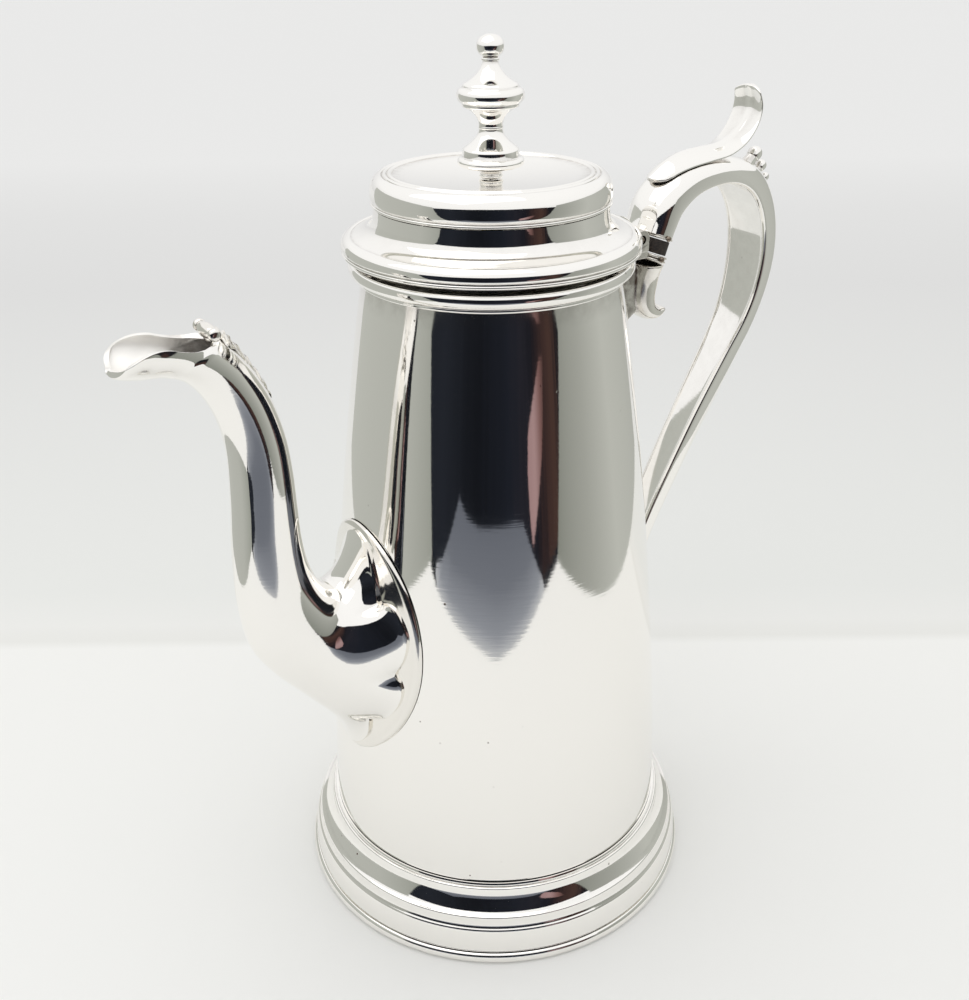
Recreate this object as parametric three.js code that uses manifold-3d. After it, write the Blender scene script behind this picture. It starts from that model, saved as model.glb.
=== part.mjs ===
// A tall tapered silver-plated coffee pot: a hollow body on a stepped foot, a swan-neck spout,
// a hinged lid with a turned finial, and a hollow handle held between two insulators.
//
// Millimetres, +Z up. The pot stands on z = 0 with its axis on Z. The spout points to -X, the
// handle to +X, and the XZ plane is the plane of symmetry.

import * as THREE from 'three';
import { mergeVertices } from 'three/addons/utils/BufferGeometryUtils.js';
import Module from 'manifold-3d';

// ---------------------------------------------------------------- driving dimensions

const footRadius = 61.2;
const bodyBaseRadius = 51.8;
const bodyBaseHeight = 23.8;
const rimRadius = 34.7;
const rimHeight = 191;
const sheet = 1.2; // thickness of the raised metal
const seam = 0.3; // gap left along every soldered seam

const lidHeight = 197.5; // underside of the closed lid's flange
const lidRadius = 39.5;
const capRadius = 31.3;
const capHeight = 209.8;
const finialHeight = 250; // the pot's full height

const hingeX = 45;
const hingeHeight = 194.6;
const knuckleRadius = 2.7;
const pinRadius = 1;
const lidKnuckleHalf = 3;
const potKnuckleEnd = 9;

const ringSteps = 36; // facets round the large turned pieces
const smallSteps = 16; // facets round the finial and other small turned pieces

// ---------------------------------------------------------------- materials

function silver(color, roughness) {
  return new THREE.MeshStandardMaterial({ color, roughness, metalness: 1 });
}

const polished = silver('#dcdad6', 0.12);
const soft = silver('#d2cfca', 0.22);
const tarnished = silver('#8a7a6c', 0.42);
const brass = silver('#b59a62', 0.35);
const fibre = new THREE.MeshStandardMaterial({ color: '#241f1c', roughness: 0.6, metalness: 0 });

// ---------------------------------------------------------------- helpers

const wasm = await Module();
wasm.setup();

const pot = new THREE.Group();
const lid = new THREE.Group();
pot.add(lid);

function flipped(geometry) {
  const { array } = geometry.index;
  for (let i = 0; i < array.length; i += 3) {
    [array[i + 1], array[i + 2]] = [array[i + 2], array[i + 1]];
  }
  return geometry;
}

function volume(geometry) {
  const { array } = geometry.index;
  const [a, b, c] = [new THREE.Vector3(), new THREE.Vector3(), new THREE.Vector3()];
  let sum = 0;
  for (let i = 0; i < array.length; i += 3) {
    a.fromBufferAttribute(geometry.attributes.position, array[i]);
    b.fromBufferAttribute(geometry.attributes.position, array[i + 1]);
    c.fromBufferAttribute(geometry.attributes.position, array[i + 2]);
    sum += a.dot(b.cross(c));
  }
  return sum / 6;
}

// Welds a closed shape's vertices, drops its empty triangles and turns its faces outwards.
function welded(geometry) {
  const bare = geometry.clone();
  bare.deleteAttribute('normal');
  bare.deleteAttribute('uv');
  const merged = mergeVertices(bare, 1e-4);
  const kept = [];
  const { array } = merged.index;
  for (let i = 0; i < array.length; i += 3) {
    const [a, b, c] = [array[i], array[i + 1], array[i + 2]];
    if (a !== b && b !== c && c !== a) kept.push(a, b, c);
  }
  merged.setIndex(kept);
  return volume(merged) < 0 ? flipped(merged) : merged;
}

function asSolid(geometry) {
  const { attributes, index } = welded(geometry);
  const vertProperties = new Float32Array(attributes.position.array);
  return new wasm.Manifold(
    new wasm.Mesh({ numProp: 3, vertProperties, triVerts: new Uint32Array(index.array) }),
  );
}

function fromSolid(solid) {
  const { vertProperties, triVerts } = solid.getMesh();
  const geometry = new THREE.BufferGeometry();
  geometry.setAttribute('position', new THREE.BufferAttribute(new Float32Array(vertProperties), 3));
  geometry.setIndex([...triVerts]);
  return geometry;
}

// What is left of a shape when others are cut away, without loose slivers.
function cut(geometry, ...tools) {
  const left = tools.reduce((solid, tool) => solid.subtract(asSolid(tool)), asSolid(geometry));
  const [largest] = left.decompose().sort((a, b) => b.volume() - a.volume());
  return fromSolid(largest);
}

function joined(...geometries) {
  const [first, ...rest] = geometries.map(asSolid);
  return fromSolid(rest.reduce((sum, next) => sum.add(next), first));
}

function common(geometry, other) {
  return fromSolid(asSolid(geometry).intersect(asSolid(other)));
}

function add(name, geometry, material, group = pot) {
  const mesh = new THREE.Mesh(welded(geometry), material);
  mesh.name = name;
  group.add(mesh);
  return mesh;
}

// A path in (radius, height), with its curves drawn in a few straight steps.
function profile(draw, curveSteps = 2) {
  const path = new THREE.Path();
  draw(path);
  return path.getPoints(curveSteps);
}

function turned(points, steps = ringSteps) {
  return new THREE.LatheGeometry(points, steps).rotateX(Math.PI / 2);
}

function tubeRing(inner, outer, low, high, steps = ringSteps) {
  return turned(profile((path) => {
    path.moveTo(inner, low);
    path.lineTo(outer, low);
    path.lineTo(outer, high);
    path.lineTo(inner, high);
    path.closePath();
  }), steps);
}

// A rod along X, Y or Z from one end to the other.
function rod(radius, start, end, steps = 16) {
  const along = new THREE.Vector3().subVectors(end, start);
  const geometry = new THREE.CylinderGeometry(radius, radius, along.length(), steps);
  const turn = new THREE.Quaternion().setFromUnitVectors(
    new THREE.Vector3(0, 1, 0),
    along.clone().normalize(),
  );
  return geometry.applyQuaternion(turn).translate(...start.clone().lerp(end, 0.5));
}

function block(lowX, highX, halfY, lowZ, highZ) {
  return new THREE.BoxGeometry(highX - lowX, 2 * halfY, highZ - lowZ)
    .translate((lowX + highX) / 2, 0, (lowZ + highZ) / 2);
}

// A flat outline in (x, z), given its thickness along Y from one face to the other.
function plate(draw, fromY, toY, curveSteps = 5) {
  const shape = new THREE.Shape();
  draw(shape);
  return new THREE.ExtrudeGeometry(shape, {
    depth: toY - fromY, bevelEnabled: false, curveSegments: curveSteps,
  }).rotateX(Math.PI / 2).translate(0, toY, 0);
}

// A bar along a curve in the XZ plane. Its section is given at any place along it as a
// function of the angle round it: [distance across, distance to the left of its heading].
function bar(stations, section, steps, sides) {
  const route = new THREE.CatmullRomCurve3(stations.map(([x, z]) => new THREE.Vector3(x, 0, z)));
  const geometry = new THREE.CylinderGeometry(1, 1, 1, sides, steps);
  const { position } = geometry.attributes;
  const spot = new THREE.Vector3();
  for (let i = 0; i < position.count; i += 1) {
    spot.fromBufferAttribute(position, i);
    const along = spot.y + 0.5;
    const middle = route.getPoint(along);
    const heading = route.getTangent(along);
    const [across, out] = section(along, Math.atan2(spot.z, spot.x));
    const reach = Math.min(1, Math.hypot(spot.x, spot.z));
    position.setXYZ(
      i,
      middle.x - heading.z * out * reach,
      across * reach,
      middle.z + heading.x * out * reach,
    );
  }
  return geometry;
}

// A value read along a bar from evenly spaced ones.
function along(values, place) {
  const spot = place * (values.length - 1);
  const low = Math.min(Math.floor(spot), values.length - 2);
  return THREE.MathUtils.lerp(values[low], values[low + 1], spot - low);
}

// A rounded section: power 1 is an ellipse, and smaller powers are squarer.
function rounded(halfAcross, halfOut, angle, power = 1) {
  const [c, s] = [Math.cos(angle), Math.sin(angle)];
  return [
    halfAcross * Math.sign(c) * Math.abs(c) ** power,
    halfOut * Math.sign(s) * Math.abs(s) ** power,
  ];
}

// ---------------------------------------------------------------- foot

function addFoot() {
  add('foot_wire', turned(profile((path) => {
    path.moveTo(57.4, 0);
    path.lineTo(footRadius - 1, 0);
    path.quadraticCurveTo(footRadius + 0.2, 0.8, footRadius, 1.9);
    path.quadraticCurveTo(footRadius - 0.2, 3.2, footRadius - 1.2, 3.4);
    path.lineTo(57.4, 3.4);
    path.closePath();
  })), polished);

  add('foot_moulding', turned(profile((path) => {
    path.moveTo(60, 3.4 + seam);
    path.quadraticCurveTo(60, 8.4, 59.2, 11.4); // deep upright band
    path.lineTo(58.1, 12.7);
    path.lineTo(57.7, 15.2);
    path.lineTo(56.3, 15.9); // ledge
    path.quadraticCurveTo(54.4, 17, 53.6, 19.8); // cove
    path.lineTo(53.2, 22.2);
    path.lineTo(52.6, 22.5); // thin ring under the body
    path.lineTo(52.4, bodyBaseHeight - seam);
    path.lineTo(50.4, bodyBaseHeight - seam);
    path.lineTo(50.4, 22);
    path.lineTo(52.2, 19.4);
    path.lineTo(54.8, 14.6);
    path.lineTo(56.4, 13.8);
    path.lineTo(57.6, 11);
    path.lineTo(58.5, 7);
    path.lineTo(58.4, 3.4 + seam);
    path.closePath();
  })), polished);
}

// ---------------------------------------------------------------- body

const bodyLine = new THREE.CubicBezierCurve(
  new THREE.Vector2(bodyBaseRadius, bodyBaseHeight),
  new THREE.Vector2(bodyBaseRadius - 1, 75),
  new THREE.Vector2(rimRadius + 6.3, 155),
  new THREE.Vector2(rimRadius, rimHeight),
);
const neckHeight = rimHeight + 5.8;

// The body's outer radius at a height.
function bodyRadius(height) {
  let [low, high] = [0, 1];
  for (let i = 0; i < 30; i += 1) {
    const middle = (low + high) / 2;
    if (bodyLine.getPoint(middle).y < height) low = middle;
    else high = middle;
  }
  return bodyLine.getPoint(low).x;
}

// The body's own shape between two heights, grown or shrunk all round.
function bodyLayer(low, high, inner, outer, rows = 8) {
  const heights = Array.from({ length: rows + 1 }, (_, i) => low + ((high - low) * i) / rows);
  const side = (growth) => heights.map((z) => new THREE.Vector2(bodyRadius(z) + growth, z));
  const points = [...side(outer), ...side(inner).reverse()];
  return turned([...points, points[0]]);
}

const strainerHeight = 97;

function addBody() {
  const points = [
    ...bodyLine.getPoints(7),
    new THREE.Vector2(rimRadius, neckHeight),
    new THREE.Vector2(rimRadius - sheet, neckHeight),
    ...bodyLine.getPoints(7).reverse().map((p) => new THREE.Vector2(p.x - sheet, p.y)),
  ];
  const opening = new THREE.CylinderGeometry(10, 10, 30, 24)
    .rotateZ(Math.PI / 2)
    .scale(1, 1, 1.4)
    .translate(-bodyRadius(strainerHeight), 0, strainerHeight);
  add('body_shell', cut(turned([...points, points[0]]), opening), polished);

  const plateRadius = bodyRadius(26) - sheet - seam;
  add('base_plate', turned(profile((path) => {
    path.moveTo(0, 26);
    path.lineTo(plateRadius - 4, 24.4);
    path.lineTo(plateRadius, 24.4);
    path.lineTo(plateRadius, 25.8);
    path.lineTo(plateRadius - 4, 25.8);
    path.lineTo(0, 27.4);
  })), soft);

  const mouth = rimRadius + seam;
  add('rim_moulding', turned(profile((path) => {
    path.moveTo(mouth, rimHeight - 0.2);
    path.lineTo(35.5, rimHeight);
    path.lineTo(36.2, 191.9);
    path.bezierCurveTo(38.5, 192.2, 38.7, 195.6, 36.8, 196); // torus
    path.quadraticCurveTo(36, 196.2, 35.9, neckHeight); // cove under the lid
    path.lineTo(mouth, neckHeight);
    path.closePath();
  })), polished);
}

// ---------------------------------------------------------------- spout

// The spout's upper and lower outlines in the plane of symmetry, as pairs of places that face
// each other from the root to the lip, with its half width across at each pair.
const spoutStations = [
  { upper: [-45.5, 126.5], lower: [-45.5, 60.5], wide: 23 },
  { upper: [-49.6, 118.4], lower: [-52.4, 66.4], wide: 19.4 },
  { upper: [-53, 114.2], lower: [-58.6, 73], wide: 16 },
  { upper: [-56.2, 114.4], lower: [-66.4, 82.6], wide: 13.4 },
  { upper: [-59.2, 118.6], lower: [-73.6, 91.8], wide: 11.8 },
  { upper: [-61.2, 125], lower: [-78.8, 101.6], wide: 10.6 },
  { upper: [-62.2, 133], lower: [-80.6, 114.4], wide: 9.8 },
  { upper: [-62.4, 142], lower: [-80.4, 129], wide: 9.1 },
  { upper: [-62.7, 151.4], lower: [-79.1, 144], wide: 8.6 },
  { upper: [-63.6, 160.4], lower: [-78.6, 157], wide: 8.1 },
  { upper: [-65.8, 169.4], lower: [-80, 166.6], wide: 7.7 },
  { upper: [-69, 177], lower: [-83, 174.2], wide: 7.4 },
  { upper: [-73.4, 184], lower: [-87.4, 179.6], wide: 7.3 },
  { upper: [-80, 190.6], lower: [-93, 182], wide: 7.3 },
  { upper: [-89, 195.6], lower: [-98.6, 182.6], wide: 7.1 },
  { upper: [-98.6, 196], lower: [-104, 184], wide: 5.6 },
];
const spoutWall = 1.2;
const beakHeight = 166; // the beak is a casting of its own, soldered on here
const strainerHoles = 5;

// The spout's solid form, with its surface drawn in by a wall's thickness.
function spoutForm(shrink, steps, sides) {
  const rail = (side) => new THREE.CatmullRomCurve3(
    spoutStations.map((station) => new THREE.Vector3(station[side][0], 0, station[side][1])),
  );
  const [upper, lower] = [rail('upper'), rail('lower')];
  const wide = spoutStations.map((station) => station.wide - shrink);
  const geometry = new THREE.CylinderGeometry(1, 1, 1, sides, steps);
  const { position } = geometry.attributes;
  const spot = new THREE.Vector3();
  for (let i = 0; i < position.count; i += 1) {
    spot.fromBufferAttribute(position, i);
    const place = spot.y + 0.5;
    const top = upper.getPoint(place);
    const half = top.clone().sub(lower.getPoint(place)).multiplyScalar(0.5);
    const middle = top.clone().sub(half);
    middle.addScaledVector(half, (1 - shrink / half.length()) * spot.z);
    position.setXYZ(i, middle.x, along(wide, place) * spot.x, middle.z);
  }
  return geometry;
}

function addSpout() {
  // The lip is an open gutter: everything above a rising line is taken away.
  const gutter = plate((shape) => {
    shape.moveTo(-77.8, 204);
    shape.lineTo(-78.6, 189.4);
    shape.quadraticCurveTo(-84, 187, -91, 190);
    shape.quadraticCurveTo(-99, 192, -105, 184.6);
    shape.lineTo(-112, 204);
    shape.closePath();
  }, -15, 15);
  const wallClear = bodyLayer(50, 140, -20, 1.6);
  const outside = spoutForm(0, 20, 14);
  const inside = spoutForm(spoutWall, 20, 12);
  const shell = cut(outside, inside, gutter, wallClear);
  const [below, above] = [60, 210];
  add('spout_shell', cut(shell, block(-120, -20, 20, beakHeight - seam / 2, above)), polished);
  add('spout_beak', cut(shell, block(-120, -20, 20, below, beakHeight + seam / 2)), polished);

  const leaf = bar(
    [[-77.8, 190.4], [-75.4, 187], [-72.2, 182.6], [-69.6, 178.4], [-67.4, 174.2], [-65.8, 170.4]],
    (t, angle) => rounded(along([4.2, 3.6, 2.9, 2.5, 1.7, 0.6], t), 1.2, angle),
    10,
    10,
  );
  add('spout_leaf', cut(leaf, spoutForm(-seam, 20, 14)), soft);
  const rollEnd = (side) => new THREE.Vector3(-80, side * 5.4, 190.8);
  add('spout_scroll', rod(1.6, rollEnd(-1), rollEnd(1), 12), soft);

  add('spout_mount', common(bodyLayer(52, 134, seam, 1.3, 10), mountBlank()), soft);

  const strainer = common(
    bodyLayer(strainerHeight - 18, strainerHeight + 18, -sheet - seam - 0.8, -sheet - seam, 6),
    new THREE.CylinderGeometry(12, 12, 40, 20)
      .rotateZ(Math.PI / 2)
      .scale(1, 1, 1.4)
      .translate(-45, 0, strainerHeight),
  );
  const holes = [];
  for (let row = 0; row < strainerHoles; row += 1) {
    const z = strainerHeight + (row - (strainerHoles - 1) / 2) * 5;
    const count = row % 2 ? 4 : 3;
    for (let i = 0; i < count; i += 1) {
      const y = (i - (count - 1) / 2) * 4.6;
      holes.push(rod(1.1, new THREE.Vector3(-60, y, z), new THREE.Vector3(-30, y, z), 6));
    }
  }
  add('spout_strainer', cut(strainer, ...holes), soft);
}

// The mount is an oval with a scalloped crown, seen along X, pushed through the body's wall.
function mountBlank() {
  const shape = new THREE.Shape();
  shape.moveTo(0, 57.5);
  shape.bezierCurveTo(16, 58, 25, 77, 24.7, 92);
  shape.bezierCurveTo(24.4, 108, 14, 127, 0, 129);
  shape.bezierCurveTo(-14, 127, -24.4, 108, -24.7, 92);
  shape.bezierCurveTo(-25, 77, -16, 58, 0, 57.5);
  const hole = new THREE.Path();
  hole.absellipse(0, 92, 23.2, 33.4, 0, 2 * Math.PI);
  shape.holes.push(hole);
  return new THREE.ExtrudeGeometry(shape, { depth: 40, bevelEnabled: false, curveSegments: 7 })
    .rotateX(Math.PI / 2)
    .rotateZ(-Math.PI / 2)
    .translate(-20, 0, 0);
}

// ---------------------------------------------------------------- lid

function addLid() {
  add('lid_flange', turned(profile((path) => {
    path.moveTo(lidRadius - 0.9, lidHeight);
    path.quadraticCurveTo(lidRadius + 0.2, lidHeight + 0.4, lidRadius, lidHeight + 2);
    path.quadraticCurveTo(lidRadius - 0.1, lidHeight + 4.2, 37, lidHeight + 4.8);
    path.lineTo(36.4, lidHeight + 4.6);
    path.quadraticCurveTo(30.9, 203.4, capRadius - 0.6, capHeight - seam); // cove to the riser
    path.lineTo(capRadius - 1.8, capHeight - seam);
    path.quadraticCurveTo(30.2, 202.2, 35.6, 201);
    path.lineTo(38, 199.6);
    path.lineTo(37.8, lidHeight);
    path.closePath();
  })), polished, lid);

  add('lid_bezel', tubeRing(31.6, 32.8, 191.4, 200.4), soft, lid);

  add('lid_cap', turned(profile((path) => {
    path.moveTo(capRadius - 1.6, capHeight);
    path.lineTo(capRadius - 0.2, capHeight);
    path.lineTo(capRadius, capHeight + 0.9);
    path.quadraticCurveTo(capRadius - 1.2, 211.9, capRadius - 0.4, 212.5);
    path.bezierCurveTo(capRadius + 0.6, 214.4, 30.6, 217, 28.3, 217.2); // round moulding
    path.lineTo(27.9, 216.8);
    path.lineTo(27.2, 217.7);
    path.lineTo(26.6, 217.3);
    path.lineTo(25.9, 217.8);
    path.lineTo(25.2, 217.2);
    path.quadraticCurveTo(14, 215.9, 1.9, 215.6); // shallow dished field
    path.lineTo(1.9, 214.4);
    path.quadraticCurveTo(14, 214.7, 25.4, 215.9);
    path.quadraticCurveTo(29.6, 215.8, 29.7, 212.6);
    path.closePath();
  })), polished, lid);

  add('finial', turned(profile((path) => {
    path.moveTo(0, 209.6);
    path.lineTo(1.5, 209.6);
    path.lineTo(1.5, 215.9);
    path.lineTo(3.1, 215.9);
    path.lineTo(3, 217);
    path.quadraticCurveTo(4.6, 218, 8.3, 218.9);
    path.quadraticCurveTo(9.3, 220, 8.2, 221.4); // base flange
    path.lineTo(7.3, 222);
    path.lineTo(7.2, 223.4);
    path.bezierCurveTo(5.6, 225.6, 3.1, 226.6, 3.1, 228.6); // waist
    path.bezierCurveTo(3.2, 231.4, 5, 232.6, 7.5, 233.9);
    path.bezierCurveTo(8.9, 235.2, 8.9, 237, 7.4, 238.1); // large torus
    path.quadraticCurveTo(3.2, 240.4, 1.8, 244.6);
    path.bezierCurveTo(4.3, 245, 4.2, finialHeight, 0, finialHeight); // ball
  }), smallSteps), polished, lid);

  add('finial_washer', tubeRing(1.8, 4.4, 213, 213.9, smallSteps), brass, lid);
  const nut = new THREE.CylinderGeometry(3.2, 3.2, 2.2, 6).rotateX(Math.PI / 2).translate(0, 0, 211.6);
  const thread = rod(1.8, new THREE.Vector3(0, 0, 205), new THREE.Vector3(0, 0, 216));
  add('finial_nut', cut(nut, thread), brass, lid);
}

// ---------------------------------------------------------------- hinge

function addHinge() {
  const axis = (y) => new THREE.Vector3(hingeX, y, hingeHeight);
  const bore = rod(pinRadius + seam, axis(-12), axis(12));

  const lidLeaf = joined(
    rod(knuckleRadius, axis(-lidKnuckleHalf), axis(lidKnuckleHalf)),
    plate((shape) => {
      shape.moveTo(lidRadius + 0.5, lidHeight + 0.6);
      shape.lineTo(lidRadius + 0.4, lidHeight + 3.4);
      shape.quadraticCurveTo(44.6, 201, hingeX + knuckleRadius - 0.2, hingeHeight + 0.6);
      shape.lineTo(hingeX - knuckleRadius + 0.2, hingeHeight + 0.8);
      shape.quadraticCurveTo(42.2, lidHeight, lidRadius + 0.5, lidHeight + 0.6);
    }, -lidKnuckleHalf, lidKnuckleHalf),
  );
  const flangeClear = tubeRing(20, lidRadius + seam, lidHeight - 4, lidHeight + 6);
  add('hinge_lid_leaf', cut(lidLeaf, bore, flangeClear), soft, lid);

  const leafTop = hingeHeight - knuckleRadius - 0.5;
  const footPlate = block(34, hingeX + knuckleRadius, potKnuckleEnd, leafTop - 2.4, leafTop);
  const ears = [-1, 1].flatMap((side) => {
    const [near, far] = [lidKnuckleHalf + seam, potKnuckleEnd].map((y) => y * side);
    const web = new THREE.BoxGeometry(2 * knuckleRadius, Math.abs(far - near), 4.4)
      .translate(hingeX, (near + far) / 2, hingeHeight - 2.2);
    return [rod(knuckleRadius, axis(near), axis(far)), web];
  });
  const bodyClear = bodyLayer(180, rimHeight, -10, seam);
  const rimClear = tubeRing(30, 38.4, rimHeight - 1, neckHeight + 2);
  const neckClear = tubeRing(20, rimRadius + 0.6, 180, neckHeight);
  add('hinge_pot_leaf', cut(joined(footPlate, ...ears), bore, bodyClear, rimClear, neckClear), soft);

  const pinEnd = potKnuckleEnd - 0.1;
  add('hinge_pin', rod(pinRadius, axis(-pinEnd), axis(pinEnd)), tarnished);
}

// ---------------------------------------------------------------- handle

// The middle of the handle's flat inner face, from the upper joint to the lower one, with its
// half width across and its full depth outwards.
const handleStations = [
  { x: 57.8, z: 194.6, wide: 8.4, deep: 8.2 },
  { x: 60.8, z: 200, wide: 8.4, deep: 8.8 },
  { x: 66.8, z: 204.2, wide: 8.3, deep: 8 },
  { x: 74.4, z: 205.9, wide: 8.3, deep: 7.3 },
  { x: 82, z: 205.4, wide: 8.3, deep: 7.3 },
  { x: 88.4, z: 202.2, wide: 8.3, deep: 8 },
  { x: 92.8, z: 196.4, wide: 8.3, deep: 7.9 },
  { x: 95.2, z: 189, wide: 8.2, deep: 7.8 },
  { x: 95.8, z: 180.6, wide: 8.1, deep: 7.6 },
  { x: 94.6, z: 171.6, wide: 7.7, deep: 7.4 },
  { x: 91.6, z: 162.6, wide: 7, deep: 7.7 },
  { x: 86.2, z: 153, wide: 6.2, deep: 8.1 },
  { x: 80.4, z: 143.4, wide: 5.8, deep: 8.3 },
  { x: 74.6, z: 133.6, wide: 5.5, deep: 8.3 },
  { x: 69, z: 123.6, wide: 5.3, deep: 8.1 },
  { x: 63.6, z: 113.6, wide: 5.1, deep: 7.9 },
  { x: 58.4, z: 103.6, wide: 5, deep: 7.5 },
  { x: 54.4, z: 94, wide: 5, deep: 6.7 },
  { x: 53, z: 85, wide: 5, deep: 6.2 },
];

// The section is flat towards the pot, with short square sides and a crowned back.
function handleSection(wide, deep, angle) {
  const [across, out] = rounded(wide, deep, angle, 0.6);
  return [across, out < 0 ? out * 0.06 : out];
}

const handleWall = 1.1;

function addHandle() {
  const wide = handleStations.map((station) => station.wide);
  const deep = handleStations.map((station) => station.deep);
  const outside = bar(
    handleStations.map(({ x, z }) => [x, z]),
    (t, angle) => handleSection(along(wide, t), along(deep, t), angle),
    32,
    12,
  );
  const first = handleStations[0];
  const last = handleStations[handleStations.length - 1];
  const inside = bar(
    [[first.x - 1, first.z - 2], ...handleStations.map(({ x, z }) => [x, z]), [last.x, last.z - 3]],
    (t, angle) => {
      const [across, out] = rounded(
        along(wide, t) - handleWall, along(deep, t) / 2 - handleWall, angle, 0.7,
      );
      return [across, out + along(deep, t) / 2];
    },
    30,
    8,
  );
  add('handle_shell', cut(outside, inside), polished);
}

// A joint between the handle and the pot: a disc of fibre between two silver collars, each
// made on one slanting axis. Distances along the axis are measured from the disc's middle.
const joints = {
  upper: { x: 53.9, z: 190.8, lean: 0.36, wide: 8, deep: 3.6, disc: 4 },
  lower: { x: 55.7, z: 79.6, lean: 0, wide: 5.2, deep: 3.2, disc: 3.4 },
};

function jointBar({ x, z, lean, wide, deep }, from, to, grown = 0) {
  const spot = (distance) => [x + distance * Math.sin(lean), z + distance * Math.cos(lean)];
  const section = (_, angle) => rounded(wide + grown, deep + grown, angle, 0.6);
  return bar([spot(from), spot((from + to) / 2), spot(to)], section, 1, 12);
}

function addJoints() {
  for (const [place, joint] of Object.entries(joints)) {
    const half = joint.disc / 2;
    add(`${place}_insulator`, jointBar(joint, -half, half), fibre);
    add(`${place}_ferrule`, jointBar(joint, half + seam, half + seam + 1, 0.5), soft);
    add(`${place}_collar`, cut(
      jointBar(joint, -half - seam - 1.9, -half - seam, 0.6),
      jointGroove(joint, -half - seam - 1.15),
    ), soft);
  }
}

// The shallow groove that makes a collar look like two rings.
function jointGroove(joint, at) {
  return cut(jointBar(joint, at - 0.2, at + 0.2, 3), jointBar(joint, at - 1, at + 1, 0.1));
}

// Each socket is a cast scroll on a web that meets the body.
function addSockets() {
  const upperScroll = bar(
    [[53.2, 185.5], [53, 181], [52.8, 175.6], [54.2, 171.6], [57.4, 169.8], [60.6, 170.6]],
    (t, angle) => rounded(
      along([7.6, 5.8, 5, 4.8, 4.5, 3.8], t), along([4.4, 4.2, 4, 3.2, 2, 0.7], t), angle, 0.8,
    ),
    16,
    14,
  );
  const upperWeb = plate((shape) => {
    shape.moveTo(30, 187.4);
    shape.lineTo(50, 185);
    shape.lineTo(52, 172);
    shape.quadraticCurveTo(48, 170.8, 44, 166.2);
    shape.quadraticCurveTo(41, 163, 30, 161.6);
    shape.closePath();
  }, -2.6, 2.6);
  add('upper_socket', cut(
    joined(upperScroll, upperWeb),
    bodyLayer(155, rimHeight, -20, seam),
  ), soft);

  const lowerScroll = bar(
    [[55.7, 74.8], [55.4, 70], [56.2, 65.4], [59, 62.6], [62.4, 62.8]],
    (t, angle) => rounded(
      along([4.8, 4.4, 4.2, 3.8, 3.2], t), along([3.1, 3.2, 3, 2, 0.7], t), angle, 0.8,
    ),
    14,
    14,
  );
  const lowerWeb = plate((shape) => {
    shape.moveTo(40, 75.6);
    shape.lineTo(54, 73.4);
    shape.lineTo(56, 65);
    shape.quadraticCurveTo(53.4, 61, 50, 57);
    shape.lineTo(40, 54);
    shape.closePath();
  }, -2.2, 2.2);
  add('lower_socket', cut(
    joined(lowerScroll, lowerWeb),
    bodyLayer(45, 90, -20, seam),
  ), soft);
}

// A small rivet through each collar and ferrule holds the fibre.
function addPins() {
  for (const [place, { x, z, lean, wide, disc }] of Object.entries(joints)) {
    for (const [name, distance] of [['ferrule', disc / 2 + seam + 0.5], ['collar', -disc / 2 - 1.2]]) {
      const head = new THREE.SphereGeometry(0.8, 8, 4)
        .scale(1, 0.6, 1)
        .translate(
          x + distance * Math.sin(lean),
          -(wide + 0.9 + 0.8 * 0.6),
          z + distance * Math.cos(lean),
        );
      add(`${place}_${name}_pin`, head, tarnished);
    }
  }
}

// How far the leaf's edges come down over the handle's crowned back, from its root to its tip.
const leafDroop = [2.8, 3, 2.9, 2.4, 1.6, 0.4, -0.6, -1.2, -1.4];

function addThumbRest() {
  add('handle_leaf', bar(
    [[55, 208.8], [60, 212], [66, 214.2], [73, 214.9], [79.4, 215.2], [84.6, 217.4],
      [88.6, 221.4], [90.4, 226.2], [89, 231.2]],
    (t, angle) => {
      const wide = along([1.8, 4.4, 5.2, 5.7, 6, 6, 5.9, 5.2, 2.8], t);
      const [across, out] = rounded(wide, 0.7, angle, 0.8);
      return [across, out - along(leafDroop, t) * (across / 6) ** 2];
    },
    18,
    12,
  ), polished);
  const beads = [[95.2, 213.2, 1.7], [98.2, 209.4, 1.4], [100.6, 205.8, 0.9]];
  beads.forEach(([x, z, radius], i) => {
    add(`handle_bead_${i + 1}`, new THREE.SphereGeometry(radius, 10, 6).translate(x, 0, z), polished);
  });
}

addFoot();
addBody();
addSpout();
addLid();
addHinge();
addHandle();
addJoints();
addSockets();
addPins();
addThumbRest();

export default pot;
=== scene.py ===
# A tall silver-plated coffee pot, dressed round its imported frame: smooth turned and cast metal in
# place of the faceted solids, plate with wiping marks and tarnish, and a white tent to mirror.

import math

import bpy
import numpy as np
from mathutils import Matrix, Vector


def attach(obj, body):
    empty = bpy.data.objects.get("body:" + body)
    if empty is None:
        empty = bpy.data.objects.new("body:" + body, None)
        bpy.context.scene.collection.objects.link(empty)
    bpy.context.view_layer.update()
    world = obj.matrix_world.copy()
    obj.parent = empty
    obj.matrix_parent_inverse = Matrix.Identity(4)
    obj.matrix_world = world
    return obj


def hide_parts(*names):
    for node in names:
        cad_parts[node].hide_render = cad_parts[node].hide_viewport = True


mm = 0.001
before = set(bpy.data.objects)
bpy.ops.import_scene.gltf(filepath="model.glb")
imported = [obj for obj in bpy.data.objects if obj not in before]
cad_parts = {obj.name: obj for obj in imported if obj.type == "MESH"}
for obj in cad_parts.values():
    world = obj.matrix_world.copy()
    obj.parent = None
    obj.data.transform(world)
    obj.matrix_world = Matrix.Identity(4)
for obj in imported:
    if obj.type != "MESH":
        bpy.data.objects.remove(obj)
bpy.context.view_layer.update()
print("frame loaded")


# small helpers

def deselect():
    bpy.ops.object.select_all(action="DESELECT")


def pick(piece):
    deselect()
    piece.select_set(True)
    bpy.context.view_layer.objects.active = piece


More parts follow.
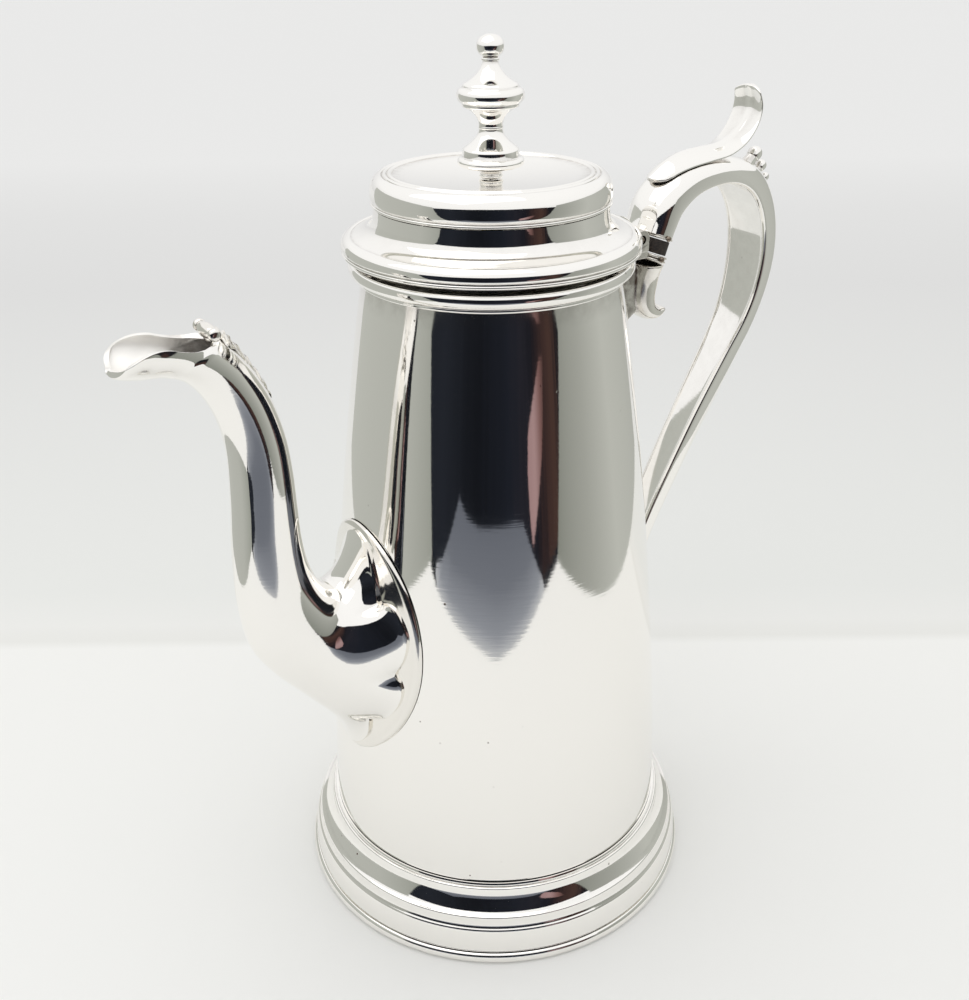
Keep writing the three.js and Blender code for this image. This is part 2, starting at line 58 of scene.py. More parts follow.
def latest(name):
    piece = bpy.context.object
    piece.name = name
    piece.data.name = name
    return piece


def editing(piece):
    pick(piece)
    bpy.ops.object.mode_set(mode="EDIT")
    bpy.ops.mesh.select_mode(type="VERT")
    bpy.ops.mesh.select_all(action="SELECT")


def modified(piece, kind, **settings):
    pick(piece)
    modifier = piece.modifiers.new(kind, kind)
    for key, value in settings.items():
        setattr(modifier, key, value)
    bpy.ops.object.modifier_apply(modifier=modifier.name)
    return piece


def smooth(piece, degrees=38):
    pick(piece)
    bpy.ops.object.shade_smooth_by_angle(angle=math.radians(degrees))
    return piece


def welded(piece, gap=0.004):
    editing(piece)
    bpy.ops.mesh.remove_doubles(threshold=gap * mm)
    bpy.ops.mesh.normals_make_consistent(inside=False)
    bpy.ops.object.mode_set(mode="OBJECT")
    return piece


def capped(piece):
    editing(piece)
    bpy.ops.mesh.select_all(action="DESELECT")
    bpy.ops.mesh.select_non_manifold(extend=False, use_wire=False, use_multi_face=False)
    bpy.ops.mesh.fill_holes(sides=0)
    bpy.ops.object.mode_set(mode="OBJECT")
    return welded(piece)


def joinedUp(name, *pieces):
    deselect()
    for piece in pieces:
        piece.select_set(True)
    bpy.context.view_layer.objects.active = pieces[0]
    bpy.ops.object.join()
    return latest(name)


# A value read along a few (place, value) stops, in a smooth curve through them.
def between(stops, x):
    places = [place for place, _ in stops]
    values = [value for _, value in stops]
    if x <= places[0]:
        return values[0]
    if x >= places[-1]:
        return values[-1]
    i = max(k for k, place in enumerate(places[:-1]) if place <= x)
    span = places[i + 1] - places[i]
    t = (x - places[i]) / span
    slopes = []
    for k in (i, i + 1):
        low, high = max(0, k - 1), min(len(places) - 1, k + 1)
        slopes.append((values[high] - values[low]) / (places[high] - places[low]) * span)
    return (
        (2 * t ** 3 - 3 * t ** 2 + 1) * values[i] + (t ** 3 - 2 * t ** 2 + t) * slopes[0]
        + (3 * t ** 2 - 2 * t ** 3) * values[i + 1] + (t ** 3 - t ** 2) * slopes[1]
    )


# The same along a list of evenly numbered values, plain numbers or (x, z) places.
def along(values, x):
    if isinstance(values[0], tuple):
        return tuple(along([value[k] for value in values], x) for k in range(len(values[0])))
    return between(list(enumerate(values)), x)


def frameAlong(places, t, step=0.02):  # a place on a route, and the ways ahead and to its left
    last = len(places) - 1
    x, z = along(places, t)
    ahead, behind = along(places, min(last, t + step)), along(places, max(0, t - step))
    heading = Vector((ahead[0] - behind[0], 0, ahead[1] - behind[1])).normalized()
    return Vector((x, 0, z)), heading, Vector((-heading.z, 0, heading.x))


# The (across, out) shares of each step round a ring; powers under 1 square it off.
def ring(steps, acrossPower=1.0, outPower=1.0):
    shares = []
    for j in range(steps + 1):
        turn = 2 * math.pi * j / steps
        c, s = math.cos(turn), math.sin(turn)
        shares.append((
            math.copysign(abs(c) ** acrossPower, c), math.copysign(abs(s) ** outPower, s),
        ))
    return shares


# An outline in (radius, height): a move of two numbers is a line, of four or six a curve.
def stroke(*moves, step=0.5):
    points = [moves[0]]
    for move in moves[1:]:
        corners = [points[-1], *zip(move[0::2], move[1::2])]
        length = sum(math.dist(a, b) for a, b in zip(corners, corners[1:]))
        count = 1 if len(corners) == 2 else min(20, max(5, round(length / step)))
        for i in range(1, count + 1):
            t = i / count
            level = corners
            while len(level) > 1:
                level = [
                    tuple(a + (b - a) * t for a, b in zip(p, q)) for p, q in zip(level, level[1:])
                ]
            points.append(level[0])
    return points


# A turned piece: one vertex is extruded along the outline, and the line is spun round Z.
def spun(name, outline, turns=160):
    deselect()
    bpy.ops.mesh.primitive_plane_add(size=mm)
    piece = latest(name)
    editing(piece)
    bpy.ops.mesh.merge(type="CENTER")
    bpy.ops.transform.translate(value=(outline[0][0] * mm, 0, outline[0][1] * mm))
    for (r0, z0), (r1, z1) in zip(outline, outline[1:]):
        bpy.ops.mesh.extrude_region_move(
            TRANSFORM_OT_translate={"value": ((r1 - r0) * mm, 0, (z1 - z0) * mm)}
        )
    bpy.ops.mesh.select_all(action="SELECT")
    bpy.ops.mesh.spin(steps=turns, angle=2 * math.pi, center=(0, 0, 0), axis=(0, 0, 1))
    bpy.ops.object.mode_set(mode="OBJECT")
    return smooth(welded(piece))


# A skin over rows of places in mm, each row with as many places as the first.
def lofted(name, rows, closed=False):
    deselect()
    bpy.ops.mesh.primitive_grid_add(
        x_subdivisions=len(rows[0]) - 1, y_subdivisions=len(rows) - 1, size=1
    )
    piece = latest(name)
    places = np.array(rows, dtype=float).reshape(-1) * mm
    piece.data.vertices.foreach_set("co", places)
    piece.data.update()
    welded(piece)
    return capped(piece) if closed else piece


def moved(piece, matrix):
    piece.data.transform(matrix)
    piece.data.update()
    return piece


# How hollow the surface is at each vertex, kept on the piece for its tarnish to settle by. More
# tarnish, and frosting, come from rules that are given a place in mm and its normal.
def markHollows(piece, passes=3, strength=1.0, extra=None, frosted=None):
    mesh = piece.data
    count = len(mesh.vertices)
    places = np.zeros(count * 3)
    mesh.vertices.foreach_get("co", places)
    places = places.reshape(-1, 3)
    normals = np.zeros(count * 3)
    mesh.vertices.foreach_get("normal", normals)
    normals = normals.reshape(-1, 3)
    edges = np.zeros(len(mesh.edges) * 2, dtype=np.int64)
    mesh.edges.foreach_get("vertices", edges)
    a, b = edges.reshape(-1, 2).T
    span = places[b] - places[a]
    length = np.linalg.norm(span, axis=1) + 1e-9
    rise = np.zeros(count)
    share = np.zeros(count)
    np.add.at(rise, a, (span * normals[a]).sum(1) / length)
    np.add.at(rise, b, -(span * normals[b]).sum(1) / length)
    np.add.at(share, a, 1)
    np.add.at(share, b, 1)
    share = np.maximum(share, 1)
    hollow = rise / share
    for _ in range(passes):
        spread = np.zeros(count)
        np.add.at(spread, a, hollow[b])
        np.add.at(spread, b, hollow[a])
        hollow = 0.5 * hollow + 0.5 * spread / share
    value = np.clip(hollow * 6 * strength, 0, 1)
    if extra is not None:
        marks = [extra(Vector(p) / mm, Vector(n)) for p, n in zip(places, normals)]
        value = np.maximum(value, marks)
    layer = mesh.attributes.new("tarnish", "FLOAT", "POINT")
    layer.data.foreach_set("value", value.astype(np.float32))
    if frosted is not None:
        marks = [frosted(Vector(p) / mm, Vector(n)) for p, n in zip(places, normals)]
        layer = mesh.attributes.new("frost", "FLOAT", "POINT")
        layer.data.foreach_set("value", np.array(marks, dtype=np.float32))
    return piece


def fitted(piece, body, slotName, material, *nodes):
    piece.data.materials.clear()
    piece.data.materials.append(material)
    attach(piece, body)
    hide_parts(*nodes)
    return piece


# finishes

def linear(code):
    channels = [int(code[i:i + 2], 16) / 255 for i in (1, 3, 5)]
    return (*[c / 12.92 if c <= 0.04045 else ((c + 0.055) / 1.055) ** 2.4 for c in channels], 1)


def addNode(tree, kind, inputs=None, stops=(), **settings):
    node = tree.nodes.new("ShaderNode" + kind)
    for key, value in settings.items():
        setattr(node, key, value)
    for key, value in (inputs or {}).items():
        if isinstance(value, bpy.types.NodeSocket):
            tree.links.new(value, node.inputs[key])
        else:
            node.inputs[key].default_value = value
    while stops and len(node.color_ramp.elements) < len(stops):
        node.color_ramp.elements.new(0.5)
    for i, (place, colour) in enumerate(stops):  # a colour ramp's, each a hex colour or a grey
        element = node.color_ramp.elements[i]
        element.position = place
        element.color = linear(colour) if isinstance(colour, str) else (colour, colour, colour, 1)
    return node


def blank(name):
    material = bpy.data.materials.new(name)
    material.use_nodes = True
    material.node_tree.nodes.clear()
    return material, material.node_tree


# Silver plate takes a mirror polish with a faint warmth. Polishing leaves long shallow ripples and
# fine wiping marks, and brown-black sulphide stays where a cloth doesn't reach.
plate = {
    # each pattern's size in mm across and up, its detail, and how it's turned
    "grains": {
        "wave": (16, 22.4, 1, 0), "streak": (0.9, 9, 1, 0), "wipe": (11, 0.9, 2, 0),
        "mark": (7, 0.22, 3, 0.2), "rub": (0.22, 7, 3, -0.35), "cloud": (22, 30, 4, 0),
        "patch": (3.2, 3.2, 4, 0),
    },
    "pitSpacing": 5.5, "pitSize": [(0.0, 1.0), (0.045, 1.0), (0.075, 0.0)],
    "pitClouds": [(0.0, 0.0), (0.58, 0.0), (0.66, 1.0)],
    "patches": [(0.0, 0.15), (0.36, 0.35), (0.62, 1.0)],
    # how far each stands up in mm
    "waveRise": 0.014, "streakRise": 0.0011, "wipeRise": 0.0045, "lineRise": 0.0008, "pitDeep": 0.03,
    "stainedGloss": 0.48, "frostedGloss": 0.62,
}


def silverPlate(name, colour, tarnish, roughness, ripple, stain):
    material, tree = blank(name)
    place = addNode(tree, "TexCoord").outputs["Object"]
    grain = {}
    for key, (across, tall, detail, turn) in plate["grains"].items():
        spread = addNode(tree, "Mapping", {
            "Vector": place,
            "Rotation": (turn, turn * 0.6, 0),
            "Scale": (1000 / across, 1000 / across, 1000 / tall),
        }).outputs["Vector"]
        grain[key] = addNode(tree, "TexNoise", {
            "Vector": spread, "Scale": 1, "Detail": detail, "Roughness": 0.55,
        }).outputs["Fac"]
    pit = addNode(tree, "TexVoronoi", {
        "Vector": place, "Scale": 1000 / plate["pitSpacing"],
    }).outputs["Distance"]
    pits = addNode(tree, "ValToRGB", {"Fac": pit}, plate["pitSize"]).outputs["Color"]
    clouds = addNode(tree, "ValToRGB", {"Fac": grain["cloud"]}, plate["pitClouds"]).outputs["Color"]
    pitted = addNode(tree, "Math", {0: pits, 1: clouds}, operation="MULTIPLY").outputs[0]
    lines = addNode(tree, "Math", {0: grain["mark"], 1: grain["rub"]}, operation="ADD").outputs[0]

    normal = None
    for height, rise, pressed in (
        (grain["wave"], plate["waveRise"] * ripple, False),
        (grain["streak"], plate["streakRise"] * ripple, False),
        (grain["wipe"], plate["wipeRise"] * ripple, False),
        (lines, plate["lineRise"], False),
        (pitted, plate["pitDeep"], True),
    ):
        relief = {"Height": height, "Strength": 1.0, "Distance": rise * mm}
        if normal is not None:
            relief["Normal"] = normal
        normal = addNode(tree, "Bump", relief, invert=pressed).outputs["Normal"]

    hollow = addNode(tree, "Attribute", attribute_name="tarnish").outputs["Fac"]
    patchy = addNode(tree, "ValToRGB", {"Fac": grain["patch"]}, plate["patches"]).outputs["Color"]
    settled = addNode(tree, "Math", {0: hollow, 1: patchy}, operation="MULTIPLY").outputs[0]
    settled = addNode(tree, "Math", {0: settled, 1: stain}, operation="MULTIPLY").outputs[0]
    settled = addNode(tree, "Math", {0: settled, 1: pitted}, operation="ADD", use_clamp=True)
    metal = addNode(tree, "Mix", {
        "Factor": settled.outputs[0], "A": linear(colour), "B": linear(tarnish),
    }, data_type="RGBA")
    gloss = addNode(tree, "MapRange", {
        "Value": lines, "From Min": 0.7, "From Max": 1.35,
        "To Min": roughness * 0.7, "To Max": roughness * 1.35,
    }).outputs["Result"]
    frost = addNode(tree, "Attribute", attribute_name="frost").outputs["Fac"]
    for share, rough in ((settled.outputs[0], "stainedGloss"), (frost, "frostedGloss")):
        gloss = addNode(tree, "Mix", {
            "Factor": share, "A": gloss, "B": plate[rough],
        }, data_type="FLOAT").outputs["Result"]
    shader = addNode(tree, "BsdfPrincipled", {
        "Base Color": metal.outputs["Result"], "Metallic": 1.0, "Roughness": gloss,
        "Normal": normal,
    })
    addNode(tree, "OutputMaterial", {"Surface": shader.outputs["BSDF"]})
    return material


# Pressed vulcanised fibre, near black with a brown cast, matt from handling and dust.
def pressedFibre():
    material, tree = blank("pressedFibre")
    place = addNode(tree, "TexCoord").outputs["Object"]
    grain = addNode(tree, "Mapping", {"Vector": place, "Scale": (900, 900, 4200)}).outputs["Vector"]
    thread = addNode(tree, "TexNoise", {"Vector": grain, "Scale": 1, "Detail": 4}).outputs["Fac"]
    tone = addNode(tree, "ValToRGB", {"Fac": thread}, [
        (0.3, "#120D0B"), (0.55, "#2A211C"), (0.8, "#4A3C33"),
    ]).outputs["Color"]
    bump = addNode(tree, "Bump", {"Height": thread, "Strength": 0.7, "Distance": 0.05 * mm})
    shader = addNode(tree, "BsdfPrincipled", {
        "Base Color": tone, "Roughness": 0.52, "Normal": bump.outputs["Normal"],
    })
    addNode(tree, "OutputMaterial", {"Surface": shader.outputs["BSDF"]})
    return material


# Machined brass under the lid, dulled by steam.
def dullBrass():
    material, tree = blank("dullBrass")
    place = addNode(tree, "TexCoord").outputs["Object"]
    film = addNode(tree, "TexNoise", {"Vector": place, "Scale": 420, "Detail": 4}).outputs["Fac"]
    tone = addNode(tree, "ValToRGB", {"Fac": film}, [(0.3, "#8E6F3A"), (0.7, "#CDAE6B")])
    rough = addNode(tree, "ValToRGB", {"Fac": film}, [(0.3, 0.5), (0.7, 0.28)])
    shader = addNode(tree, "BsdfPrincipled", {
        "Base Color": tone.outputs["Color"], "Metallic": 1.0, "Roughness": rough.outputs["Color"],
    })
    addNode(tree, "OutputMaterial", {"Surface": shader.outputs["BSDF"]})
    return material


# colour, tarnish, roughness, how strong the ripples are, and how much of the stain stays
polished = silverPlate("polishedSilverPlate", "#FBF9F5", "#5E4A3A", 0.05, 1.0, 0.55)
cast = silverPlate("castSilverPlate", "#F3F0EA", "#4E3B2D", 0.1, 1.6, 1.0)
inner = silverPlate("brushedSilverPlate", "#E2DDD4", "#5A4636", 0.3, 1.5, 1.0)
dull = silverPlate("tarnishedSilverPlate", "#A89A8C", "#3A2C22", 0.34, 1.5, 1.0)
fibre = pressedFibre()
brass = dullBrass()
print("finishes made")


# camera, standing a little above the lid, and the white tent round it

view = {
    "turn": -34, "place": (-2.5, -295.4, 274.1), "down": 27.12, "roll": -0.56, "lens": 40.66,
}


def facing(x, y, z=0.0):  # a place in mm given as the camera sees it: x to its right, y away
    turn = math.radians(view["turn"])
    return Vector((
        x * math.cos(turn) - y * math.sin(turn), x * math.sin(turn) + y * math.cos(turn), z,
    )) * mm


def addCamera():
    bpy.ops.object.camera_add(location=facing(*view["place"]))
    camera = bpy.context.object
    camera.name = "camera"
    camera.data.sensor_width = 36
    camera.data.lens = view["lens"]
    camera.data.clip_start = 0.01
    camera.rotation_mode = "QUATERNION"
    aim = Matrix.Rotation(math.radians(view["turn"]), 4, "Z")
    aim = aim @ Matrix.Rotation(math.radians(90 - view["down"]), 4, "X")
    aim = aim @ Matrix.Rotation(math.radians(view["roll"]), 4, "Z")
    camera.rotation_quaternion = aim.to_quaternion()
    bpy.context.scene.camera = camera


tent = {
    "side": 292, "front": -330, "back": 300, "wallTop": 285,  # mm
    "sheets": [  # each side sheet, with its side, its front edge low and high, and its greys along Y
        ("tentLeft", -1, -322, -215, [(-320, "#979A93"), (-120, "#B2B4AE"), (300, "#BCBEB8")]),
        ("tentRight", 1, -308, -174, [
            (-308, "#83867F"), (-120, "#A0A29C"), (20, "#B9BBB5"), (300, "#AFB1AB"),
        ]),
    ],
    "room": [
        (-700, "#191B21"), (-250, "#22252C"), (-60, "#14161B"), (60, "#1C1F27"), (118, "#23232A"),
        (200, "#1A1A20"), (262, "#3A2B29"), (330, "#46342F"), (400, "#1C1B1F"), (700, "#1B1D22"),
    ],
    "roomHalf": 708, "roomRagged": 26,
    "rose": [(140, "#9C7E7E"), (185, "#A28686"), (225, "#7A5B58"), (262, "#463431")],
    "rosePatch": [  # from x to x, at each height
        (162, 168, 36), (152, 196, 58), (146, 228, 88), (154, 244, 114), (186, 250, 134),
        (232, 262, 158),
    ],
    "slate": [(0, "#BABCC0"), (10, "#8C9098"), (32, "#6E727B"), (85, "#5C606A")],
    "darkFloor": [(-345, "#17191E"), (-200, "#2B2D33")],
    "edge": [  # where the white floor ends before the opening, and how high the slate stands there
        (-292, -322, 0), (-262, -316, 3), (-228, -292, 14), (-180, -291, 44), (-143, -290, 72),
        (-108, -289, 63), (-60, -284, 60), (6, -271, 62), (81, -286, 61), (118, -294, 57),
        (171, -306, 24), (206, -312, 3), (250, -312, 0), (292, -308, 0),
    ],
}


# A glowing sheet, its colours in stops (mm, colour) along one way as the camera sees it. A ragged
# one has them shifted by up to so many mm in upright streaks.
def glowing(name, axis, stops, ragged=0.0):
    material, tree = blank(name)
    place = addNode(tree, "TexCoord").outputs["Object"]
    turned = addNode(tree, "Mapping", {
        "Vector": place, "Rotation": (0, 0, math.radians(-view["turn"])),
    }).outputs["Vector"]
    spot = addNode(tree, "SeparateXYZ", {"Vector": turned}).outputs[axis]
    stretched = addNode(tree, "Mapping", {"Vector": turned, "Scale": (70, 70, 6)}).outputs["Vector"]
    grain = addNode(tree, "TexNoise", {"Vector": stretched, "Scale": 1, "Detail": 4}).outputs["Fac"]
    low, high = stops[0][0], stops[-1][0]
    drift = addNode(tree, "MapRange", {
        "Value": grain, "From Min": 0.3, "From Max": 0.7, "To Min": -ragged * mm, "To Max": ragged * mm,
    }).outputs["Result"]
    spot = addNode(tree, "Math", {0: spot, 1: drift}, operation="ADD").outputs[0]
    far = addNode(tree, "MapRange", {"Value": spot, "From Min": low * mm, "From Max": high * mm})
    shade = addNode(tree, "ValToRGB", {"Fac": far.outputs["Result"]}, [
        ((x - low) / (high - low), colour) for x, colour in stops
    ])
    glow = addNode(tree, "Emission", {"Color": shade.outputs["Color"], "Strength": 1.0})
    addNode(tree, "OutputMaterial", {"Surface": glow.outputs["Emission"]})
    return material


def card(name, corners, material):  # a sheet that only the metal sees
    piece = lofted(name, [[Vector(facing(*c)) / mm for c in row] for row in corners])
    piece.data.materials.append(material)
    piece.visible_camera = False
    piece.visible_diffuse = False
    piece.visible_shadow = False
    piece.visible_transmission = False
    return piece


sweep = {
    "size": 12, "near": -0.3, "far": 1.2,  # m
    "tonesAndPaintedShade": [  # from near to far on the flat floor: a darker painted shade line at 0.274 where the paper would turn up, and beyond it the upright backdrop's shade painted flat, darker and then lighter
        (0.0, "#EFEFED"), (0.27, "#EEEEEB"), (0.274, "#E4E4E0"), (0.28, "#E8E8E5"),
        (0.3, "#E4E5E2"), (0.62, "#DFDFDE"), (0.8, "#E4E4E3"), (1.0, "#ECECEB"),
    ],
}


# The floor stays a flat plane: the crease and the backdrop's shade are painted on it.
def addFloor():
    material, tree = blank("paperSweepPaintedShade")
    place = addNode(tree, "TexCoord").outputs["Object"]
    turned = addNode(tree, "Mapping", {
        "Vector": place, "Rotation": (0, 0, math.radians(-view["turn"])),
    })
    depth = addNode(tree, "SeparateXYZ", {"Vector": turned.outputs["Vector"]}).outputs["Y"]
    far = addNode(tree, "MapRange", {
        "Value": depth, "From Min": sweep["near"], "From Max": sweep["far"],
    }).outputs["Result"]
    tone = addNode(tree, "ValToRGB", {"Fac": far}, sweep["tonesAndPaintedShade"]).outputs["Color"]
    fine = addNode(tree, "TexNoise", {"Vector": place, "Scale": 700, "Detail": 3}).outputs["Fac"]
    bump = addNode(tree, "Bump", {"Height": fine, "Strength": 0.2, "Distance": 0.1 * mm})
    shader = addNode(tree, "BsdfPrincipled", {
        "Base Color": tone, "Roughness": 0.8, "Normal": bump.outputs["Normal"],
        "Specular IOR Level": 0.1,
    })
    addNode(tree, "OutputMaterial", {"Surface": shader.outputs["BSDF"]})
    deselect()
    bpy.ops.mesh.primitive_plane_add(size=sweep["size"])
    floor = latest("floor")
    floor.data.materials.append(material)


def addTent():
    side, front, back, top = (tent[key] for key in ("side", "front", "back", "wallTop"))
    for name, way, low, high, greys in tent["sheets"]:
        x = way * side
        corners = [[(x, low, 0), (x, back, 0)], [(x, high, top), (x, back, top)]]
        card(name, corners, glowing(name, "Y", greys))
    far, wide = front - 5, tent["roomHalf"]
    corners = [[(x, far, z) for x in (-wide, wide)] for z in (-60, top + 20)]
    card("roomDark", corners, glowing("roomDark", "X", tent["room"], ragged=tent["roomRagged"]))
    card("roomRose", [
        [(x0, front - 3, z), (x1, front - 3, z)] for x0, x1, z in tent["rosePatch"]
    ], glowing("roomRose", "X", tent["rose"]))
    edge = tent["edge"]
    card("roomFloor", [
        [(x, y, 0.3) for x, y, _ in edge], [(x * 1.6, front - 8, 0.3) for x, _, _ in edge],
    ], glowing("roomFloor", "Y", tent["darkFloor"]))
    card("roomSlate", [
        [(x, y, 0.6) for x, y, rise in edge if rise],
        [(x, front - 1, rise) for x, y, rise in edge if rise],
    ], glowing("roomSlate", "Z", tent["slate"]))


light = {
    "place": (-120, -60, 620), "size": 0.5, "watts": 0.45,
    "sky": [(0.0, 0.72), (0.12, 0.78), (0.4, 0.96), (1.0, 1.0)],  # from just under level to straight up
}


def addLight():
    bpy.ops.object.light_add(type="AREA", location=facing(*light["place"]))
    panel = bpy.context.object
    panel.name = "ceilingPanel"
    panel.data.size = light["size"]
    panel.data.energy = light["watts"]
    panel.rotation_euler = (Vector((0, 0, 0.1)) - panel.location).to_track_quat("-Z", "Y").to_euler()

    world = bpy.data.worlds.new("tentLight")
    bpy.context.scene.world = world
    world.use_nodes = True
    tree = world.node_tree
    tree.nodes.clear()
    place = addNode(tree, "TexCoord").outputs["Generated"]
    up = addNode(tree, "SeparateXYZ", {"Vector": place}).outputs["Z"]
    height = addNode(tree, "MapRange", {"Value": up, "From Min": -0.1, "From Max": 1.0})
    glow = addNode(tree, "ValToRGB", {"Fac": height.outputs["Result"]}, light["sky"])
    sky = addNode(tree, "Background", {"Color": glow.outputs["Color"], "Strength": 1.0})
    addNode(tree, "OutputWorld", {"Surface": sky.outputs["Background"]})
    bpy.context.scene.view_settings.view_transform = "Standard"


addCamera()
addFloor()
addTent()
addLight()
print("camera and tent set")


# foot

foot = {"radius": 61.2, "height": 23.5, "wireHeight": 3.4}  # mm


def addFoot():
    wire = stroke(
        (57.4, 0), (60.2, 0), (61.15, 0.3, foot["radius"], 1.9), (61.1, 3.1, 60.1, foot["wireHeight"]),
        (57.4, foot["wireHeight"]), (57.4, 0), step=0.25,
    )
    fitted(markHollows(spun("footWire", wire)), "pot", "polished_silver", polished, "foot_wire")
    moulding = stroke(
        (59.9, 3.7), (60.05, 4.0), (60.1, 8.0, 59.3, 10.9),
        (59.15, 11.5, 58.8, 11.7), (58.15, 12.1, 57.95, 13.5),  # fine step over the upright band
        (57.85, 14.9), (57.8, 15.25, 57.5, 15.35), (56.4, 15.8),
        (55.3, 16.8, 54.14, 18.5, 53.6, 19.9),  # cove
        (53.45, 22.0), (53.3, 22.35, 52.9, 22.3), (52.7, 22.35), (52.8, 22.8, 52.65, 23.1),
        (52.4, 23.5), (50.5, foot["height"]), (50.4, 22), (52.2, 19.4), (54.8, 14.6), (56.4, 13.8),
        (57.6, 11), (58.5, 7), (58.4, 3.7), (59.9, 3.7), step=0.3,
    )
    piece = markHollows(spun("footMoulding", moulding), strength=0.6)
    fitted(piece, "pot", "polished_silver", polished, "foot_moulding")


addFoot()
print("foot turned")


# body

body = {
    "base": (51.8, 23.8), "swell": (50.8, 75), "draw": (41, 155), "rim": (34.7, 191),
    "top": 196.8, "sheet": 1.2, "strainer": 97,
}


def bodyRadius(z):
    low, high = 0.0, 1.0
    ends = [body[key] for key in ("base", "swell", "draw", "rim")]
    weights = (1, 3, 3, 1)

    def at(t, k):
        return sum(
            w * (1 - t) ** (3 - i) * t ** i * end[k] for i, (w, end) in enumerate(zip(weights, ends))
        )

    for _ in range(30):
        middle = (low + high) / 2
        low, high = (middle, high) if at(middle, 1) < z else (low, middle)
    return at(low, 0)


def addBody():
    sheet = body["sheet"]
    outer = stroke(body["base"], (*body["swell"], *body["draw"], *body["rim"]), step=4)
    inside = [(r - sheet, z) for r, z in reversed(outer)]
    rim = body["rim"][0]
    shell = outer + [(rim, body["top"] - 0.2), (rim - 0.2, body["top"]), (rim - sheet, body["top"])]
    piece = spun("bodyShell", shell + inside + outer[:1], turns=192)
    deselect()
    bpy.ops.mesh.primitive_cylinder_add(
        vertices=48, radius=10 * mm, depth=30 * mm, rotation=(0, math.pi / 2, 0),
        location=(-bodyRadius(body["strainer"]) * mm, 0, body["strainer"] * mm),
    )
    opening = latest("spoutOpening")
    bpy.ops.object.transform_apply(location=True, rotation=True, scale=True)
    modified(piece, "BOOLEAN", object=opening, operation="DIFFERENCE", solver="EXACT")
    bpy.data.objects.remove(opening)

    def underRim(p, n):  # polish and tarnish stay in the corner under the moulding
        outside = math.hypot(p.x, p.y) > body["rim"][0] - 0.8
        return 0.8 * max(0, 1 - abs(p.z - 190.6) / 0.9) if outside else 0.0

    markHollows(smooth(piece), strength=0.0, extra=underRim)
    fitted(piece, "pot", "polished_silver", polished, "body_shell")

    plate = stroke(
        (0, 26), (20, 25.9, 44, 24.7), (45.6, 24.4, 46.4, 24.4), (49.6, 24.4), (50, 24.6),
        (50, 25.5), (49.7, 25.8), (46.4, 25.8), (45, 26, 0, 27.4), step=1,
    )
    piece = markHollows(spun("basePlate", plate), strength=1.5)
    fitted(piece, "pot", "soft_silver", inner, "base_plate")

    rim = stroke(
        (35, 190.8), (35.4, 190.75), (35.95, 190.8, 35.95, 191.3), (35.95, 191.7, 35.7, 191.9),
        (36.2, 192.0), (38.3, 192.2, 38.6, 195.3, 36.9, 195.9),  # round moulding
        (36.5, 195.95), (36.1, 196.1, 35.9, 196.8), (35, 196.8), (35, 190.8), step=0.3,
    )
    piece = markHollows(spun("rimMoulding", rim), strength=1.0)
    fitted(piece, "pot", "polished_silver", polished, "rim_moulding")


addBody()
print("body raised")


# spout, a flared root with a scalloped edge, a swan neck and an open beak

spout = {
    "wall": 1.2, "columns": 120, "rootRows": 16, "rowsPerStation": 8, "mountHeight": 92,
    "rootStation": 1.35, "edgeHeight": 1.95, "flareShare": 0.5, "flareHeight": 2.7, "neckRun": 3.0,
    # upper and lower outline in (x, z) and half the width, from the root to the lip
    "stations": [
        ((-49.6, 118.4), (-52.4, 66.4), 19.4), ((-53, 114.2), (-58.6, 73), 16),
        ((-56.2, 114.4), (-66.4, 82.6), 13.4), ((-59.2, 118.6), (-73.6, 91.8), 11.8),
        ((-61.2, 125), (-78.8, 101.6), 10.6), ((-62.2, 133), (-80.6, 114.4), 9.8),
        ((-62.4, 142), (-80.4, 129), 9.1), ((-62.7, 151.4), (-79.1, 144), 8.6),
        ((-63.6, 160.4), (-78.6, 157), 8.1), ((-65.8, 169.4), (-80, 166.6), 7.7),
        ((-69, 177), (-83, 174.2), 7.4), ((-73.4, 184), (-87.4, 179.6), 7.3),
        ((-80, 190.6), (-93, 182), 7.6), ((-89, 195.6), (-98.6, 182.6), 8.1),
        ((-98.6, 196), (-103.2, 183.9), 7.9), ((-101, 196.4), (-104.4, 185.2), 1.6),
    ],
    # the middle of the beak in (x, z), which its inner face turns to
    "beakLine": [(-72, 176), (-78, 183), (-86.5, 188.3), (-93.8, 192.1), (-104.4, 193)],
    # how far the scalloped edge reaches from the mount's middle, by degrees from its top
    "scallops": [
        (0, 35), (7, 33.4), (20, 27), (33, 20.9), (38, 23), (43, 24.3), (55, 24.2), (66, 23.5),
        (80, 21.3), (97, 18.6), (101, 20.2), (108, 22), (117, 22.9), (131, 23.5), (145, 23.3),
        (154, 22.4), (158, 26), (162, 28.4), (172, 31.8), (180, 33),
    ],
}
lip = stroke((-78.6, 189.4), (-84, 187, -91, 190), (-99, 192, -106.5, 183.4), step=0.5)


def section(t, turn):  # a place on the spout, from its station and the angle round it
    upper = along([s[0] for s in spout["stations"]], t)
    lower = along([s[1] for s in spout["stations"]], t)
    wide = along([s[2] for s in spout["stations"]], t)
    c = math.cos(turn)
    return Vector((
        (upper[0] + lower[0]) / 2 + (upper[0] - lower[0]) / 2 * c, wide * math.sin(turn),
        (upper[1] + lower[1]) / 2 + (upper[1] - lower[1]) / 2 * c,
    ))


def overBody(y, z, height):  # a place so far above the body's front
    reach = bodyRadius(z) + height
    return Vector((-math.sqrt(reach * reach - y * y), y, z))


def lipTurn(t):  # the angle down to which the beak is open
    rim = [(-x, z) for x, z in lip]

    def over(turn):
        place = section(t, turn)
        return place.x < lip[0][0] and place.z > between(rim, -place.x)

    low, high = 0.0, math.pi * 0.8
    if not over(low):
        return low
    for _ in range(16):
        middle = (low + high) / 2
        low, high = (middle, high) if over(middle) else (low, middle)
    return low


